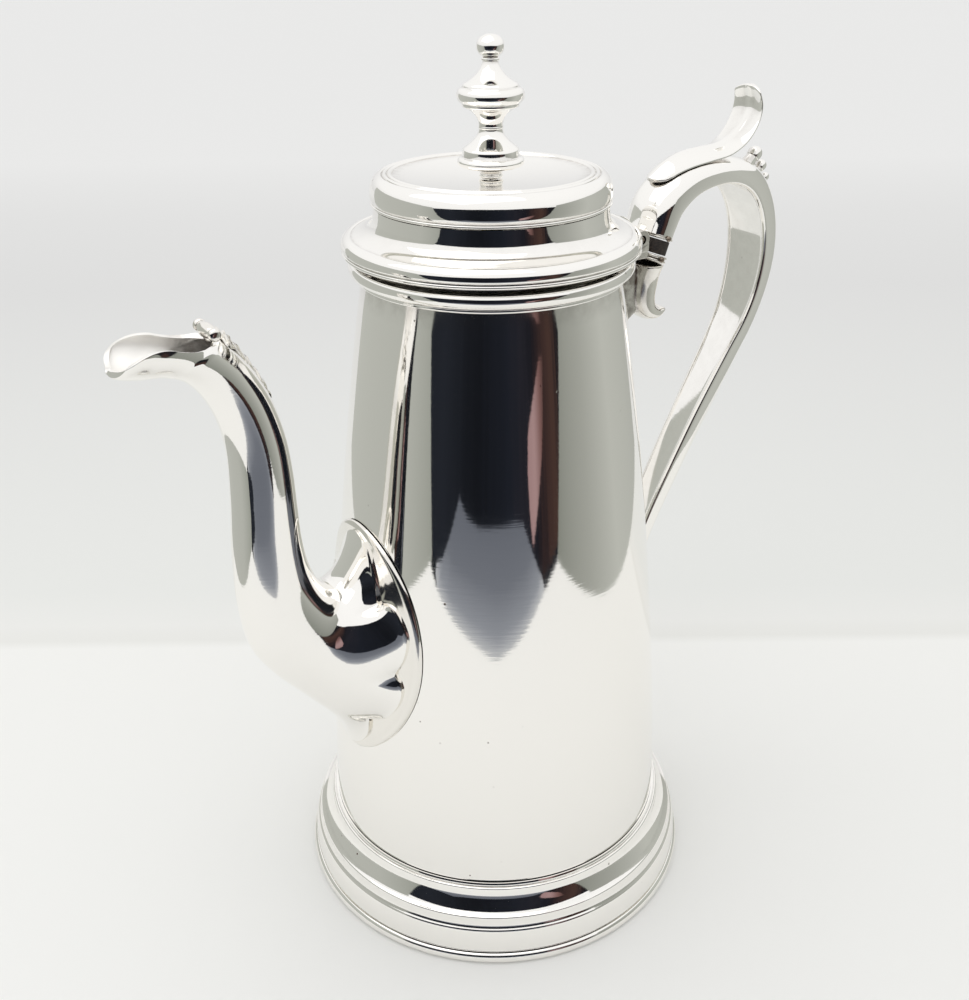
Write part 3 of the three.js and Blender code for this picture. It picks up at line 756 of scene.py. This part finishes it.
def addSpout():
    columns, middle = spout["columns"], spout["mountHeight"]
    firstStation, lastStation = spout["rootStation"], len(spout["stations"]) - 1
    share = spout["flareShare"]
    rows = []
    for i in range(spout["rootRows"]):
        s = i / spout["rootRows"]
        row = []
        for j in range(columns + 1):
            turn = 2 * math.pi * j / columns
            end = section(firstStation, turn)
            heading = section(firstStation + 0.3, turn) - end
            angle = math.atan2(16 * math.sin(turn), 21 * math.cos(turn))
            reach = between(spout["scallops"], abs(math.degrees(angle)))
            y, z = math.sin(angle) * reach, math.cos(angle) * reach
            z += middle
            start = overBody(y, z, spout["edgeHeight"])
            near = end - heading * spout["neckRun"]
            inward = overBody(y + (near.y - y) * share, z + (near.z - z) * share, spout["flareHeight"])
            row.append(
                start * (1 - s) ** 3 + inward * 3 * s * (1 - s) ** 2
                + near * 3 * s * s * (1 - s) + end * s ** 3
            )
        rows.append(row)
    steps = round((lastStation - firstStation) * spout["rowsPerStation"])
    for i in range(steps + 1):
        t = firstStation + (lastStation - firstStation) * i / steps
        opened = lipTurn(t)
        rows.append([
            section(t, opened + (2 * math.pi - 2 * opened) * j / columns) for j in range(columns + 1)
        ])
    piece = lofted("spout", rows)
    modified(piece, "SOLIDIFY", thickness=spout["wall"] * mm, offset=-1, use_even_offset=True)
    modified(piece, "BEVEL", width=0.3 * mm, segments=3, limit_method="ANGLE", angle_limit=0.9)
    smooth(piece, 45)

    heart = [(-x, z) for x, z in spout["beakLine"]]

    def isInside(p, n):  # whether a place is on the inner face of the beak
        middle = Vector((p.x, 0, between(heart, -p.x)))
        return p.z > 172 and p.x < -72 and n.dot(middle - p) > 0.6

    def stale(p, n):  # coffee dries in the throat, and a cloth reaches the beak only in part
        return max(0, min(1, 0.05 + (p.x + 88.5) / 6)) if isInside(p, n) else 0.0

    def dry(p, n):
        return 0.8 if isInside(p, n) else 0.0

    markHollows(piece, strength=0.4, extra=stale, frosted=dry)
    fitted(piece, "pot", "polished_silver", polished, "spout_shell", "spout_beak")


mount = {
    "across": 24.7, "up": 36.4, "down": 34.4, "columns": 144, "point": 1.12,
    # from the outline inwards and back under: share of the reach, and height over the body
    "rings": [
        (1.0, 0.3), (1.0, 0.75), (0.996, 1.05), (0.985, 1.25), (0.97, 1.32), (0.955, 1.3),
        (0.93, 1.2), (0.88, 1.15), (0.8, 1.15), (0.6, 1.15), (0.6, 0.3), (1.0, 0.3),
    ],
}


def addMount():
    rows = []
    for share, height in mount["rings"]:
        row = []
        for j in range(mount["columns"] + 1):
            turn = 2 * math.pi * j / mount["columns"]
            upper = math.cos(turn) > 0
            bend = 0 if upper else mount["point"] - 1
            y = mount["across"] * math.sin(turn) * abs(math.sin(turn)) ** bend * share
            z = mount["up" if upper else "down"] * math.cos(turn) * share
            row.append(overBody(y, spout["mountHeight"] + z, height))
        rows.append(row)
    piece = lofted("spoutMount", rows)
    markHollows(smooth(piece, 50), strength=2.0)
    fitted(piece, "pot", "soft_silver", cast, "spout_mount")


spoutLeaf = {
    "route": [
        (-76.9, 189.0), (-75.3, 186.9), (-72.5, 183.0), (-69.9, 178.8), (-67.6, 174.6),
        (-65.9, 170.6),
    ],
    "halves": [2.6, 3.7, 2.7, 3.3, 2.0, 2.4, 1.3, 0.5], "rows": 60, "columns": 32,
    "curl": (-78.9, 0, 189.3), "curlWide": 1.45, "scroll": (-80, 0, 190.6),
}


def addSpoutLeaf():
    route, halves = spoutLeaf["route"], spoutLeaf["halves"]
    rows = []
    for i in range(spoutLeaf["rows"] + 1):
        t = i / spoutLeaf["rows"]
        spot, heading, out = frameAlong(route, t * (len(route) - 1), 0.05)
        wide = along(halves, t * (len(halves) - 1))
        row = []
        for c, s in ring(spoutLeaf["columns"], acrossPower=0.8):
            y = wide * c
            rib = 0.5 * math.exp(-(y / 0.7) ** 2) * (1 - t) ** 0.5
            rib += 0.18 * math.cos(t * 40 - abs(y) * 2.2)  # veins
            lift = (0.95 + rib) * s if s > 0 else 0.4 * s
            lift -= (y / 4.2) ** 2 * 1.3 + 0.3 + 0.5 * t  # bent over the neck, and sunk into it
            row.append(spot + Vector((0, y, 0)) + out * lift)
        rows.append(row)
    curl = stroke((0, -2.1), (1.2, -2.1, 2.1, -1.2, 2.1, 0), (2.1, 1.2, 1.2, 2.1, 0, 2.1), step=0.3)
    place = Matrix.Translation(Vector(spoutLeaf["curl"]) * mm)
    curl = moved(
        spun("spoutCurl", curl, turns=36), place @ Matrix.Diagonal((1, spoutLeaf["curlWide"], 1, 1)),
    )
    piece = joinedUp("spoutLeaf", lofted("spoutBlade", rows, closed=True), curl)
    markHollows(smooth(piece, 60), strength=3.0)
    fitted(piece, "pot", "soft_silver", cast, "spout_leaf")

    roll = stroke(
        (0, -5.6), (0.7, -5.6), (1.5, -5.5, 1.6, -4.6), (1.6, -4.0, 1.25, -3.7), (1.2, -3.5),
        (1.75, -2.2, 1.8, 0), (1.75, 2.2, 1.2, 3.5), (1.25, 3.7), (1.6, 4.0, 1.6, 4.6),
        (1.5, 5.5, 0.7, 5.6), (0, 5.6), step=0.2,
    )
    piece = spun("spoutScroll", roll, turns=40)
    place = Matrix.Translation(Vector(spoutLeaf["scroll"]) * mm)
    moved(piece, place @ Matrix.Rotation(math.pi / 2, 4, "X"))
    markHollows(piece, strength=2.0)
    fitted(piece, "pot", "soft_silver", cast, "spout_scroll")


strainer = {
    "across": 12, "up": 16.8, "rows": 5, "pitch": 5, "gap": 4.6, "hole": 1.1,
    "rings": [  # share of the reach, and distance inwards
        (0.02, 0), (0.3, 0), (0.6, 0), (0.85, 0), (0.97, 0), (1.0, 0.25), (1.0, 0.6), (0.97, 0.8),
        (0.02, 0.8),
    ],
}


def addStrainer():
    size = strainer
    rows = []
    for share, back in size["rings"]:
        row = []
        for c, s in ring(64):
            y, z = size["across"] * s * share, body["strainer"] + size["up"] * c * share
            row.append(overBody(y, z, -body["sheet"] - 0.3 - back))
        rows.append(row)
    piece = lofted("spoutStrainer", rows, closed=True)
    for row in range(size["rows"]):
        count = 4 if row % 2 else 3
        for i in range(count):
            deselect()
            bpy.ops.mesh.primitive_cylinder_add(
                vertices=20, radius=size["hole"] * mm, depth=30 * mm, rotation=(0, math.pi / 2, 0),
                location=Vector((
                    -45, (i - (count - 1) / 2) * size["gap"],
                    body["strainer"] + (row - (size["rows"] - 1) / 2) * size["pitch"],
                )) * mm,
            )
            drill = latest("drill")
            bpy.ops.object.transform_apply(location=True, rotation=True, scale=True)
            modified(piece, "BOOLEAN", object=drill, operation="DIFFERENCE", solver="EXACT")
            bpy.data.objects.remove(drill)
    markHollows(smooth(piece), strength=1.0, extra=lambda p, n: 0.4)
    fitted(piece, "pot", "soft_silver", inner, "spout_strainer")


addSpout()
addMount()
addSpoutLeaf()
addStrainer()
print("spout mounted")


# lid

lid = {"top": 250, "turns": 192}


def addLid():
    flange = stroke(
        (38.5, 197.5), (39.3, 197.5, 39.45, 198.1), (39.45, 198.5, 39.1, 198.6), (39.05, 198.8),
        (39.65, 199.2, 39.5, 200.0), (39.3, 201.9, 37.3, 202.3), (36.9, 202.35, 36.7, 202.1),
        (36.4, 202.15), (33.6, 202.6, 31.3, 203.4, 30.9, 206.2), (30.75, 207.6), (30.7, 209.5),
        (29.5, 209.5), (29.9, 204.0, 31.5, 202.0, 35.6, 201), (37.6, 200.4, 38, 199.6),
        (37.8, 197.5), (38.5, 197.5), step=0.3,
    )
    piece = markHollows(spun("lidFlange", flange, turns=lid["turns"]), strength=0.8)
    fitted(piece, "lid", "polished_silver", polished, "lid_flange")

    bezel = stroke(
        (31.7, 191.6), (31.9, 191.4), (32.6, 191.4), (32.8, 191.7), (32.8, 199.8), (32.9, 200.3),
        (31.7, 200.3), (31.6, 200.0), (31.6, 192.6), (31.7, 191.6),
    )
    fitted(markHollows(spun("lidBezel", bezel)), "lid", "soft_silver", inner, "lid_bezel")

    cap = stroke(
        (29.7, 209.8), (31.0, 209.8), (31.4, 209.95, 31.3, 210.4), (31.2, 210.6, 30.95, 210.65),
        (30.95, 210.75), (31.4, 211.2, 31.4, 212.4), (31.3, 216.6, 28.5, 217.35),
        (28.2, 217.3, 28.1, 217.0), (27.9, 217.05), (27.7, 217.75, 27.2, 217.6),
        (26.9, 217.5, 26.8, 217.2), (26.6, 217.2), (26.4, 217.8, 25.9, 217.7),
        (25.5, 217.6, 25.3, 217.15), (14, 215.9, 1.9, 215.6), (1.9, 214.4), (14, 214.7, 25.4, 215.9),
        (29.6, 215.8, 29.7, 212.6), (29.7, 209.8), step=0.3,
    )
    piece = markHollows(spun("lidCap", cap, turns=lid["turns"]), strength=0.8)
    fitted(piece, "lid", "polished_silver", polished, "lid_cap")

    knob = stroke(
        (0, 209.6), (1.5, 209.6), (1.5, 215.9), (2.9, 215.9), (3.3, 216.1, 3.1, 216.6),
        (2.8, 216.9, 3.0, 217.2), (4.4, 217.9, 7.8, 218.7), (8.7, 219.0, 8.65, 219.9),
        (8.5, 220.7, 7.9, 220.9), (7.4, 220.95, 7.3, 221.2), (7.25, 222.5), (7.2, 223.0, 6.7, 223.3),
        (5.0, 224.6, 3.25, 225.8, 3.05, 227.8), (3.3, 228.1, 3.1, 228.5), (3.1, 228.9),
        (3.3, 231.0, 5.0, 232.2, 6.8, 233.0), (7.4, 233.1, 7.35, 233.7), (7.3, 233.9),
        (8.6, 234.5, 8.6, 235.9), (8.5, 237.2, 7.5, 237.6), (7.2, 237.65, 7.1, 237.9),
        (7.1, 238.4, 6.6, 238.7), (4.0, 239.9, 2.6, 241.4, 1.95, 243.7), (2.4, 243.9, 2.3, 244.3),
        (2.2, 244.6, 1.85, 244.7), (2.1, 244.9), (4.3, 245.6, 4.1, lid["top"], 0, lid["top"]), step=0.25,
    )
    piece = markHollows(spun("finial", knob, turns=96), strength=0.9)
    fitted(piece, "lid", "polished_silver", polished, "finial")

    washer = stroke(
        (1.9, 213.0), (4.2, 213.0), (4.4, 213.2), (4.4, 213.7), (4.2, 213.9), (1.9, 213.9),
        (1.9, 213.0),
    )
    fitted(spun("finialWasher", washer, turns=48), "lid", "brass", brass, "finial_washer")
    nut = stroke(
        (1.9, 210.5), (2.9, 210.5), (3.2, 210.8), (3.2, 212.4), (2.9, 212.7), (1.9, 212.7),
        (1.9, 210.5),
    )
    fitted(smooth(spun("finialNut", nut, turns=6), 20), "lid", "brass", brass, "finial_nut")


addLid()
print("lid turned")


# hinge

hinge = {
    "x": 45, "z": 194.6, "knuckle": 2.7, "pin": 1.0, "lidHalf": 3, "potEnd": 9, "gap": 0.3,
    "strapDrop": 0.5, "strapDeep": 2.3,
}


def knuckle(name, near, far):
    r, bore = hinge["knuckle"], hinge["pin"] + hinge["gap"]
    low, high = min(near, far), max(near, far)
    line = stroke(
        (bore, low), (r - 0.3, low), (r, low, r, low + 0.3), (r, high - 0.3),
        (r, high, r - 0.3, high), (bore, high), (bore, low), step=0.1,
    )
    piece = spun(name, line, turns=48)
    place = Matrix.Translation(Vector((hinge["x"], 0, hinge["z"])) * mm)
    return moved(piece, place @ Matrix.Rotation(math.pi / 2, 4, "X"))


def sheetBetween(name, outline, low, high, bevel=0.25):  # a flat outline in (x, z), given its width
    deselect()
    bpy.ops.mesh.primitive_circle_add(vertices=len(outline), radius=mm, fill_type="NGON")
    piece = latest(name)
    places = [(x, low, z) for x, z in outline]
    piece.data.vertices.foreach_set("co", np.array(places, dtype=float).reshape(-1) * mm)
    editing(piece)
    bpy.ops.mesh.extrude_region_move(TRANSFORM_OT_translate={"value": (0, (high - low) * mm, 0)})
    bpy.ops.mesh.select_all(action="SELECT")
    bpy.ops.mesh.normals_make_consistent(inside=False)
    bpy.ops.object.mode_set(mode="OBJECT")
    return modified(piece, "BEVEL", width=bevel * mm, segments=3, limit_method="ANGLE", angle_limit=0.6)


def addHinge():
    x, z, r, half, end = (hinge[key] for key in ("x", "z", "knuckle", "lidHalf", "potEnd"))
    leaf = stroke(
        (39.95, 198.1), (39.9, 200.9), (44.6, 201, x + r - 0.4, z + 1.4),
        (x - 1.6, z + 2.1), (42.4, 197.4, 39.95, 198.1), step=0.6,
    )[:-1]
    piece = joinedUp(
        "lidHinge", knuckle("lidKnuckle", -half, half), sheetBetween("lidStrap", leaf, -half, half),
    )
    markHollows(smooth(piece, 40), strength=1.5, extra=lambda p, n: 0.25 if p.x < 42 else 0.0)
    fitted(piece, "lid", "soft_silver", cast, "hinge_lid_leaf")

    top = z - r - hinge["strapDrop"]
    lowest = top - hinge["strapDeep"]
    strap = [(36.2, lowest), (47.5, lowest), (47.5, top), (36.9, top)]
    parts = [sheetBetween("potStrap", strap, -end, end, 0.5)]
    for side in (-1, 1):
        near, far = sorted((side * (half + hinge["gap"]), side * end))
        parts.append(knuckle("potKnuckle", -near, -far))
        web = [
            (x - r + 0.1, top - 0.2), (x + r - 0.1, top - 0.2), (x + r - 0.1, z - 0.9),
            (x + 1.5, z - 1.35), (x - 1.5, z - 1.35), (x - r + 0.1, z - 0.9),
        ]
        parts.append(sheetBetween("potWeb", web, near, far, 0.2))
    piece = joinedUp("potHinge", *parts)
    markHollows(smooth(piece, 40), strength=2.0, extra=lambda p, n: 0.55)
    fitted(piece, "pot", "soft_silver", cast, "hinge_pot_leaf")

    reach = end - 0.1
    line = stroke(
        (0, -reach), (0.6, -reach), (hinge["pin"], -reach + 0.1, hinge["pin"], -reach + 0.5),
        (hinge["pin"], reach - 0.5), (hinge["pin"], reach - 0.1, 0.6, reach), (0, reach), step=0.1,
    )
    piece = spun("hingePin", line, turns=32)
    moved(piece, Matrix.Translation(Vector((x, 0, z)) * mm) @ Matrix.Rotation(math.pi / 2, 4, "X"))
    fitted(markHollows(piece, extra=lambda p, n: 0.6), "pot", "tarnished_silver", dull, "hinge_pin")


addHinge()
print("hinge made")


# handle, flat within and crowned without, between two fibre discs

handle = {
    "line": 0.35, "perStation": 6, "columns": 73,
    # middle of the flat inner face, half the width and the depth, from the upper joint down
    "stations": [
        ((57.8, 194.6), 8.4, 8.2), ((60.8, 200), 8.4, 8.8), ((66.8, 204.2), 8.3, 8),
        ((74.4, 205.9), 8.3, 7.3), ((82, 205.4), 8.3, 7.3), ((88.4, 202.2), 8.3, 8.5),
        ((92.8, 196.4), 8.3, 8.7), ((95.2, 189), 8.2, 8.8), ((95.8, 180.6), 8.1, 8.5),
        ((94.6, 171.6), 7.7, 7.9), ((91.6, 162.6), 7, 7.7), ((86.2, 153), 6.2, 8.1),
        ((80.4, 143.4), 5.8, 8.3), ((74.6, 133.6), 5.5, 8.3), ((69, 123.6), 5.3, 8.1),
        ((63.6, 113.6), 5.1, 7.9), ((58.4, 103.6), 5, 7.5), ((54.4, 94), 5, 6.7), ((53, 85), 5, 6.2),
    ],
}


def handleSection(wide, deep):
    line = handle["line"]
    half = stroke(
        (0, 0.25), (wide - 2.4, 0.15), (wide - 1.7, 0.05, wide - 1.5, -0.05),
        (wide - 1.1, -line, wide - 0.7, -0.05), (wide, 0.1, wide, 0.9), (wide, deep * 0.16),
        (wide * 0.99, deep * 0.74, wide * 0.64, deep * 0.99, 0, deep), step=0.45,
    )
    return half + [(-across, out) for across, out in reversed(half[:-1])]


def resampled(row, count):
    return [row[round(k * (len(row) - 1) / (count - 1))] for k in range(count)]


# The end of the handle drawn on along its own line, until it sits on the ferrule of its joint.
def seated(end, before, name):
    joint = joints[name]
    lean = Vector((math.sin(joint["lean"]), 0, math.cos(joint["lean"])))
    top = Vector((joint["x"], 0, joint["z"])) + lean * (joint["disc"] / 2 + seat)
    middle = sum(end, Vector()) / len(end)
    heading = (middle - sum(before, Vector()) / len(before)).normalized()
    return [p + heading * ((top - p).dot(lean) / heading.dot(lean)) for p in end]


def addHandle():
    route = [s[0] for s in handle["stations"]]
    count = (len(route) - 1) * handle["perStation"]
    rows = []
    for i in range(count + 1):
        t = i / handle["perStation"]
        spot, heading, out = frameAlong(route, t)
        wide = along([s[1] for s in handle["stations"]], t)
        deep = along([s[2] for s in handle["stations"]], t)
        line = resampled(handleSection(wide, deep), handle["columns"])
        rows.append([spot + Vector((0, across, 0)) + out * lift for across, lift in line])
    rows.insert(0, seated(rows[0], rows[1], "upper"))
    rows.append(seated(rows[-1], rows[-2], "lower"))
    piece = lofted("handle", rows, closed=True)
    markHollows(smooth(piece, 42), strength=0.8)
    fitted(piece, "pot", "polished_silver", polished, "handle_shell")


joints = {
    "upper": {"x": 53.9, "z": 190.8, "lean": 0.36, "wide": 8, "deep": 3.6, "disc": 4},
    "lower": {"x": 55.7, "z": 79.6, "lean": 0, "wide": 5.2, "deep": 3.2, "disc": 3.4},
}
seat = 1.2  # how far over the disc the handle sits down on its ferrule


def slab(name, joint, outline):  # a rounded block on a joint's axis: (growth, distance along it)
    lean = Vector((math.sin(joint["lean"]), 0, math.cos(joint["lean"])))
    out = Vector((-lean.z, 0, lean.x))
    middle = Vector((joint["x"], 0, joint["z"]))
    rows = []
    for grown, distance in outline:
        wide, deep = joint["wide"] + grown, joint["deep"] + grown
        rows.append([
            middle + lean * distance + out * (deep * s) + Vector((0, wide * c, 0))
            for c, s in ring(64, 0.6, 0.6)
        ])
    return smooth(lofted(name, rows, closed=True), 50)


def addJoints():
    for name, joint in joints.items():
        half = joint["disc"] / 2
        disc = stroke(
            (-0.9, -half), (-0.2, -half), (0, -half, 0, -half + 0.25), (0, half - 0.25),
            (0, half, -0.2, half), (-0.9, half), step=0.1,
        )
        piece = slab(name + "Insulator", joint, disc)
        fitted(piece, "pot", "dark_fibre", fibre, name + "_insulator")
        low, high = half + 0.3, half + 1.3
        band = stroke(
            (-0.7, low), (0.2, low), (0.6, low, 0.6, low + 0.35), (0.55, low + 0.6, 0.3, low + 0.6),
            (0.5, low + 0.75, 0.4, high), (-0.7, high), step=0.08,
        )
        piece = markHollows(slab(name + "Ferrule", joint, band), strength=2.0, extra=lambda p, n: 0.35)
        fitted(piece, "pot", "soft_silver", cast, name + "_ferrule")
        low, high = -half - 2.2, -half - 0.3
        band = stroke(
            (-1.2, low), (0.1, low), (0.55, low + 0.05, 0.55, low + 0.45),
            (0.5, low + 0.8, 0.1, low + 0.85), (0.0, low + 1.0),
            (0.6, low + 1.1, 0.62, low + 1.45), (0.6, high, 0.3, high), (-1.2, high),
            step=0.08,
        )
        piece = markHollows(slab(name + "Collar", joint, band), strength=2.0, extra=lambda p, n: 0.35)
        fitted(piece, "pot", "soft_silver", cast, name + "_collar")


sockets = {
    "upper": {
        "scroll": [
            ((53.2, 185.6), 7.6, 4.4), ((53, 181), 5.8, 4.2), ((52.8, 175.6), 5, 4),
            ((54.2, 171.6), 4.8, 3.2), ((57.4, 169.8), 4.5, 2), ((60.6, 170.6), 3.8, 0.8),
        ],
        "web": [(33, 187.2), (50, 185.2), (52, 172), (48, 170.8, 44, 166.2), (41, 163, 36, 161.8)],
        "half": 2.6, "span": (155, 190),
    },
    "lower": {
        "scroll": [
            ((55.7, 74.9), 4.8, 3.1), ((55.4, 70), 4.4, 3.2), ((56.2, 65.4), 4.2, 3),
            ((59, 62.6), 3.8, 2), ((62.4, 62.8), 3.2, 0.8),
        ],
        "web": [(44, 75.4), (54, 73.4), (56, 65), (53.4, 61, 50, 57), (48, 55.4, 45, 54.6)],
        "half": 2.2, "span": (45, 90),
    },
}


def addSocket(name, size):
    route = [s[0] for s in size["scroll"]]
    last = len(route) - 1
    rows = []
    for i in range(31):
        t = last * i / 30
        spot, heading, out = frameAlong(route, t)
        wide = along([s[1] for s in size["scroll"]], t)
        deep = along([s[2] for s in size["scroll"]], t)
        rows.append([
            spot + Vector((0, wide * c, 0)) + out * deep * s for c, s in ring(48, 0.8, 0.8)
        ])
    scroll = lofted("socketScroll", rows, closed=True)
    outline = stroke(*size["web"], step=0.8)
    web = sheetBetween("socketWeb", outline, -size["half"], size["half"], 0.9)
    piece = joinedUp(name + "Socket", scroll, web)
    modified(piece, "REMESH", mode="VOXEL", voxel_size=0.36 * mm)
    modified(piece, "SMOOTH", factor=0.6, iterations=7)
    low, high = size["span"]
    clear = [(bodyRadius(z) + 0.3, z) for z in np.linspace(low, high, 25)]
    cutter = spun("bodyClear", [(0, low), *clear, (0, high)], turns=96)
    modified(piece, "BOOLEAN", object=cutter, operation="DIFFERENCE", solver="EXACT")
    bpy.data.objects.remove(cutter)

    def uncleaned(p, n):  # the sides of the web, which no cloth gets to
        return max(0, min(1, (53.5 - p.x) / 9)) * 0.95 if abs(n.y) > 0.25 or p.x < 50 else 0.1

    markHollows(smooth(piece, 60), strength=2.5, extra=uncleaned)
    fitted(piece, "pot", "soft_silver", cast, name + "_socket")


def addPins():
    for name, joint in joints.items():
        half = joint["disc"] / 2
        for kind, distance in (("ferrule", half + 0.8), ("collar", -half - 1.2)):
            head = stroke((0, -0.3), (0.75, -0.3), (0.8, -0.1), (0.75, 0.4, 0, 0.45), step=0.12)
            piece = spun(name + kind.title() + "Pin", head, turns=28)
            place = Vector((
                joint["x"] + distance * math.sin(joint["lean"]), -(joint["wide"] + 0.6 + 0.45),
                joint["z"] + distance * math.cos(joint["lean"]),
            ))
            moved(piece, Matrix.Translation(place * mm) @ Matrix.Rotation(math.pi / 2, 4, "X"))
            markHollows(piece, extra=lambda p, n: 0.4)
            fitted(piece, "pot", "tarnished_silver", dull, name + "_" + kind + "_pin")


thumbRest = {
    "route": [
        (54.6, 208.4), (60, 212), (66, 214.2), (73, 214.9), (80.2, 215.3), (86.4, 217.2),
        (90.8, 221.2), (92.6, 226.2), (91.2, 231.5),
    ],
    "halves": [4.0, 4.9, 5.6, 5.9, 6.1, 6.1, 6.0, 5.7, 4.9],
    "droop": [2.8, 3, 2.9, 2.4, 1.6, 0.4, -0.6, -1.3, -1.7],
    "rows": 72, "columns": 48, "root": 4.4, "rootRun": 0.6, "tipRun": 0.3,
    "beads": [(96.2, 211.4, 2.2), (99.2, 207.6, 1.75), (101.5, 204.0, 1.3)],
}


def addThumbRest():
    rows = []
    last = len(thumbRest["route"]) - 1
    root, tip = thumbRest["rootRun"], thumbRest["tipRun"]
    for i in range(thumbRest["rows"] + 1):
        t = last * (1 - math.cos(math.pi * i / thumbRest["rows"])) / 2
        spot, heading, out = frameAlong(thumbRest["route"], t)
        wide = along(thumbRest["halves"], t)
        if t < root:
            wide = thumbRest["root"] * math.sqrt(max(0.004, 1 - (1 - t / root) ** 2))
        if t > last - tip:
            wide *= math.sqrt(max(0.01, 1 - ((t - last + tip) / (tip + 0.01)) ** 2))
        row = []
        for c, s in ring(thumbRest["columns"], 0.85, 0.7):
            across = wide * c
            rib = 0.28 * math.exp(-(across / 0.9) ** 2) if s > 0 else 0
            lift = (0.75 + rib) * s
            lift -= along(thumbRest["droop"], t) * (across / 6) ** 2
            row.append(spot + Vector((0, across, 0)) + out * lift)
        rows.append(row)
    piece = lofted("thumbLeaf", rows, closed=True)
    underside = lambda p, n: 0.8 if n.z < -0.5 and p.z < 214 else 0.0
    markHollows(smooth(piece, 60), strength=1.2, extra=underside)
    fitted(piece, "pot", "polished_silver", polished, "handle_leaf")

    for i, (x, z, radius) in enumerate(thumbRest["beads"]):
        drop = stroke(  # a ball on a short stalk, which reaches into the handle
            (0, -radius - 3.2), (radius * 1.05, -radius - 3.1), (radius * 0.8, -radius * 0.75),
            (radius, -radius * 0.6, radius, 0), (radius, radius * 0.6, radius * 0.55, radius, 0, radius),
            step=0.2,
        )
        piece = spun("handleBead" + str(i + 1), drop, turns=40)
        moved(piece, Matrix.Translation(Vector((x, 0, z)) * mm) @ Matrix.Rotation(0.85, 4, "Y"))
        markHollows(piece, extra=lambda p, n: 0.7 if n.x < -0.5 else 0.0)
        fitted(piece, "pot", "polished_silver", polished, "handle_bead_" + str(i + 1))


addHandle()
addJoints()
for name, size in sockets.items():
    addSocket(name, size)
addPins()
addThumbRest()
print("handle made")
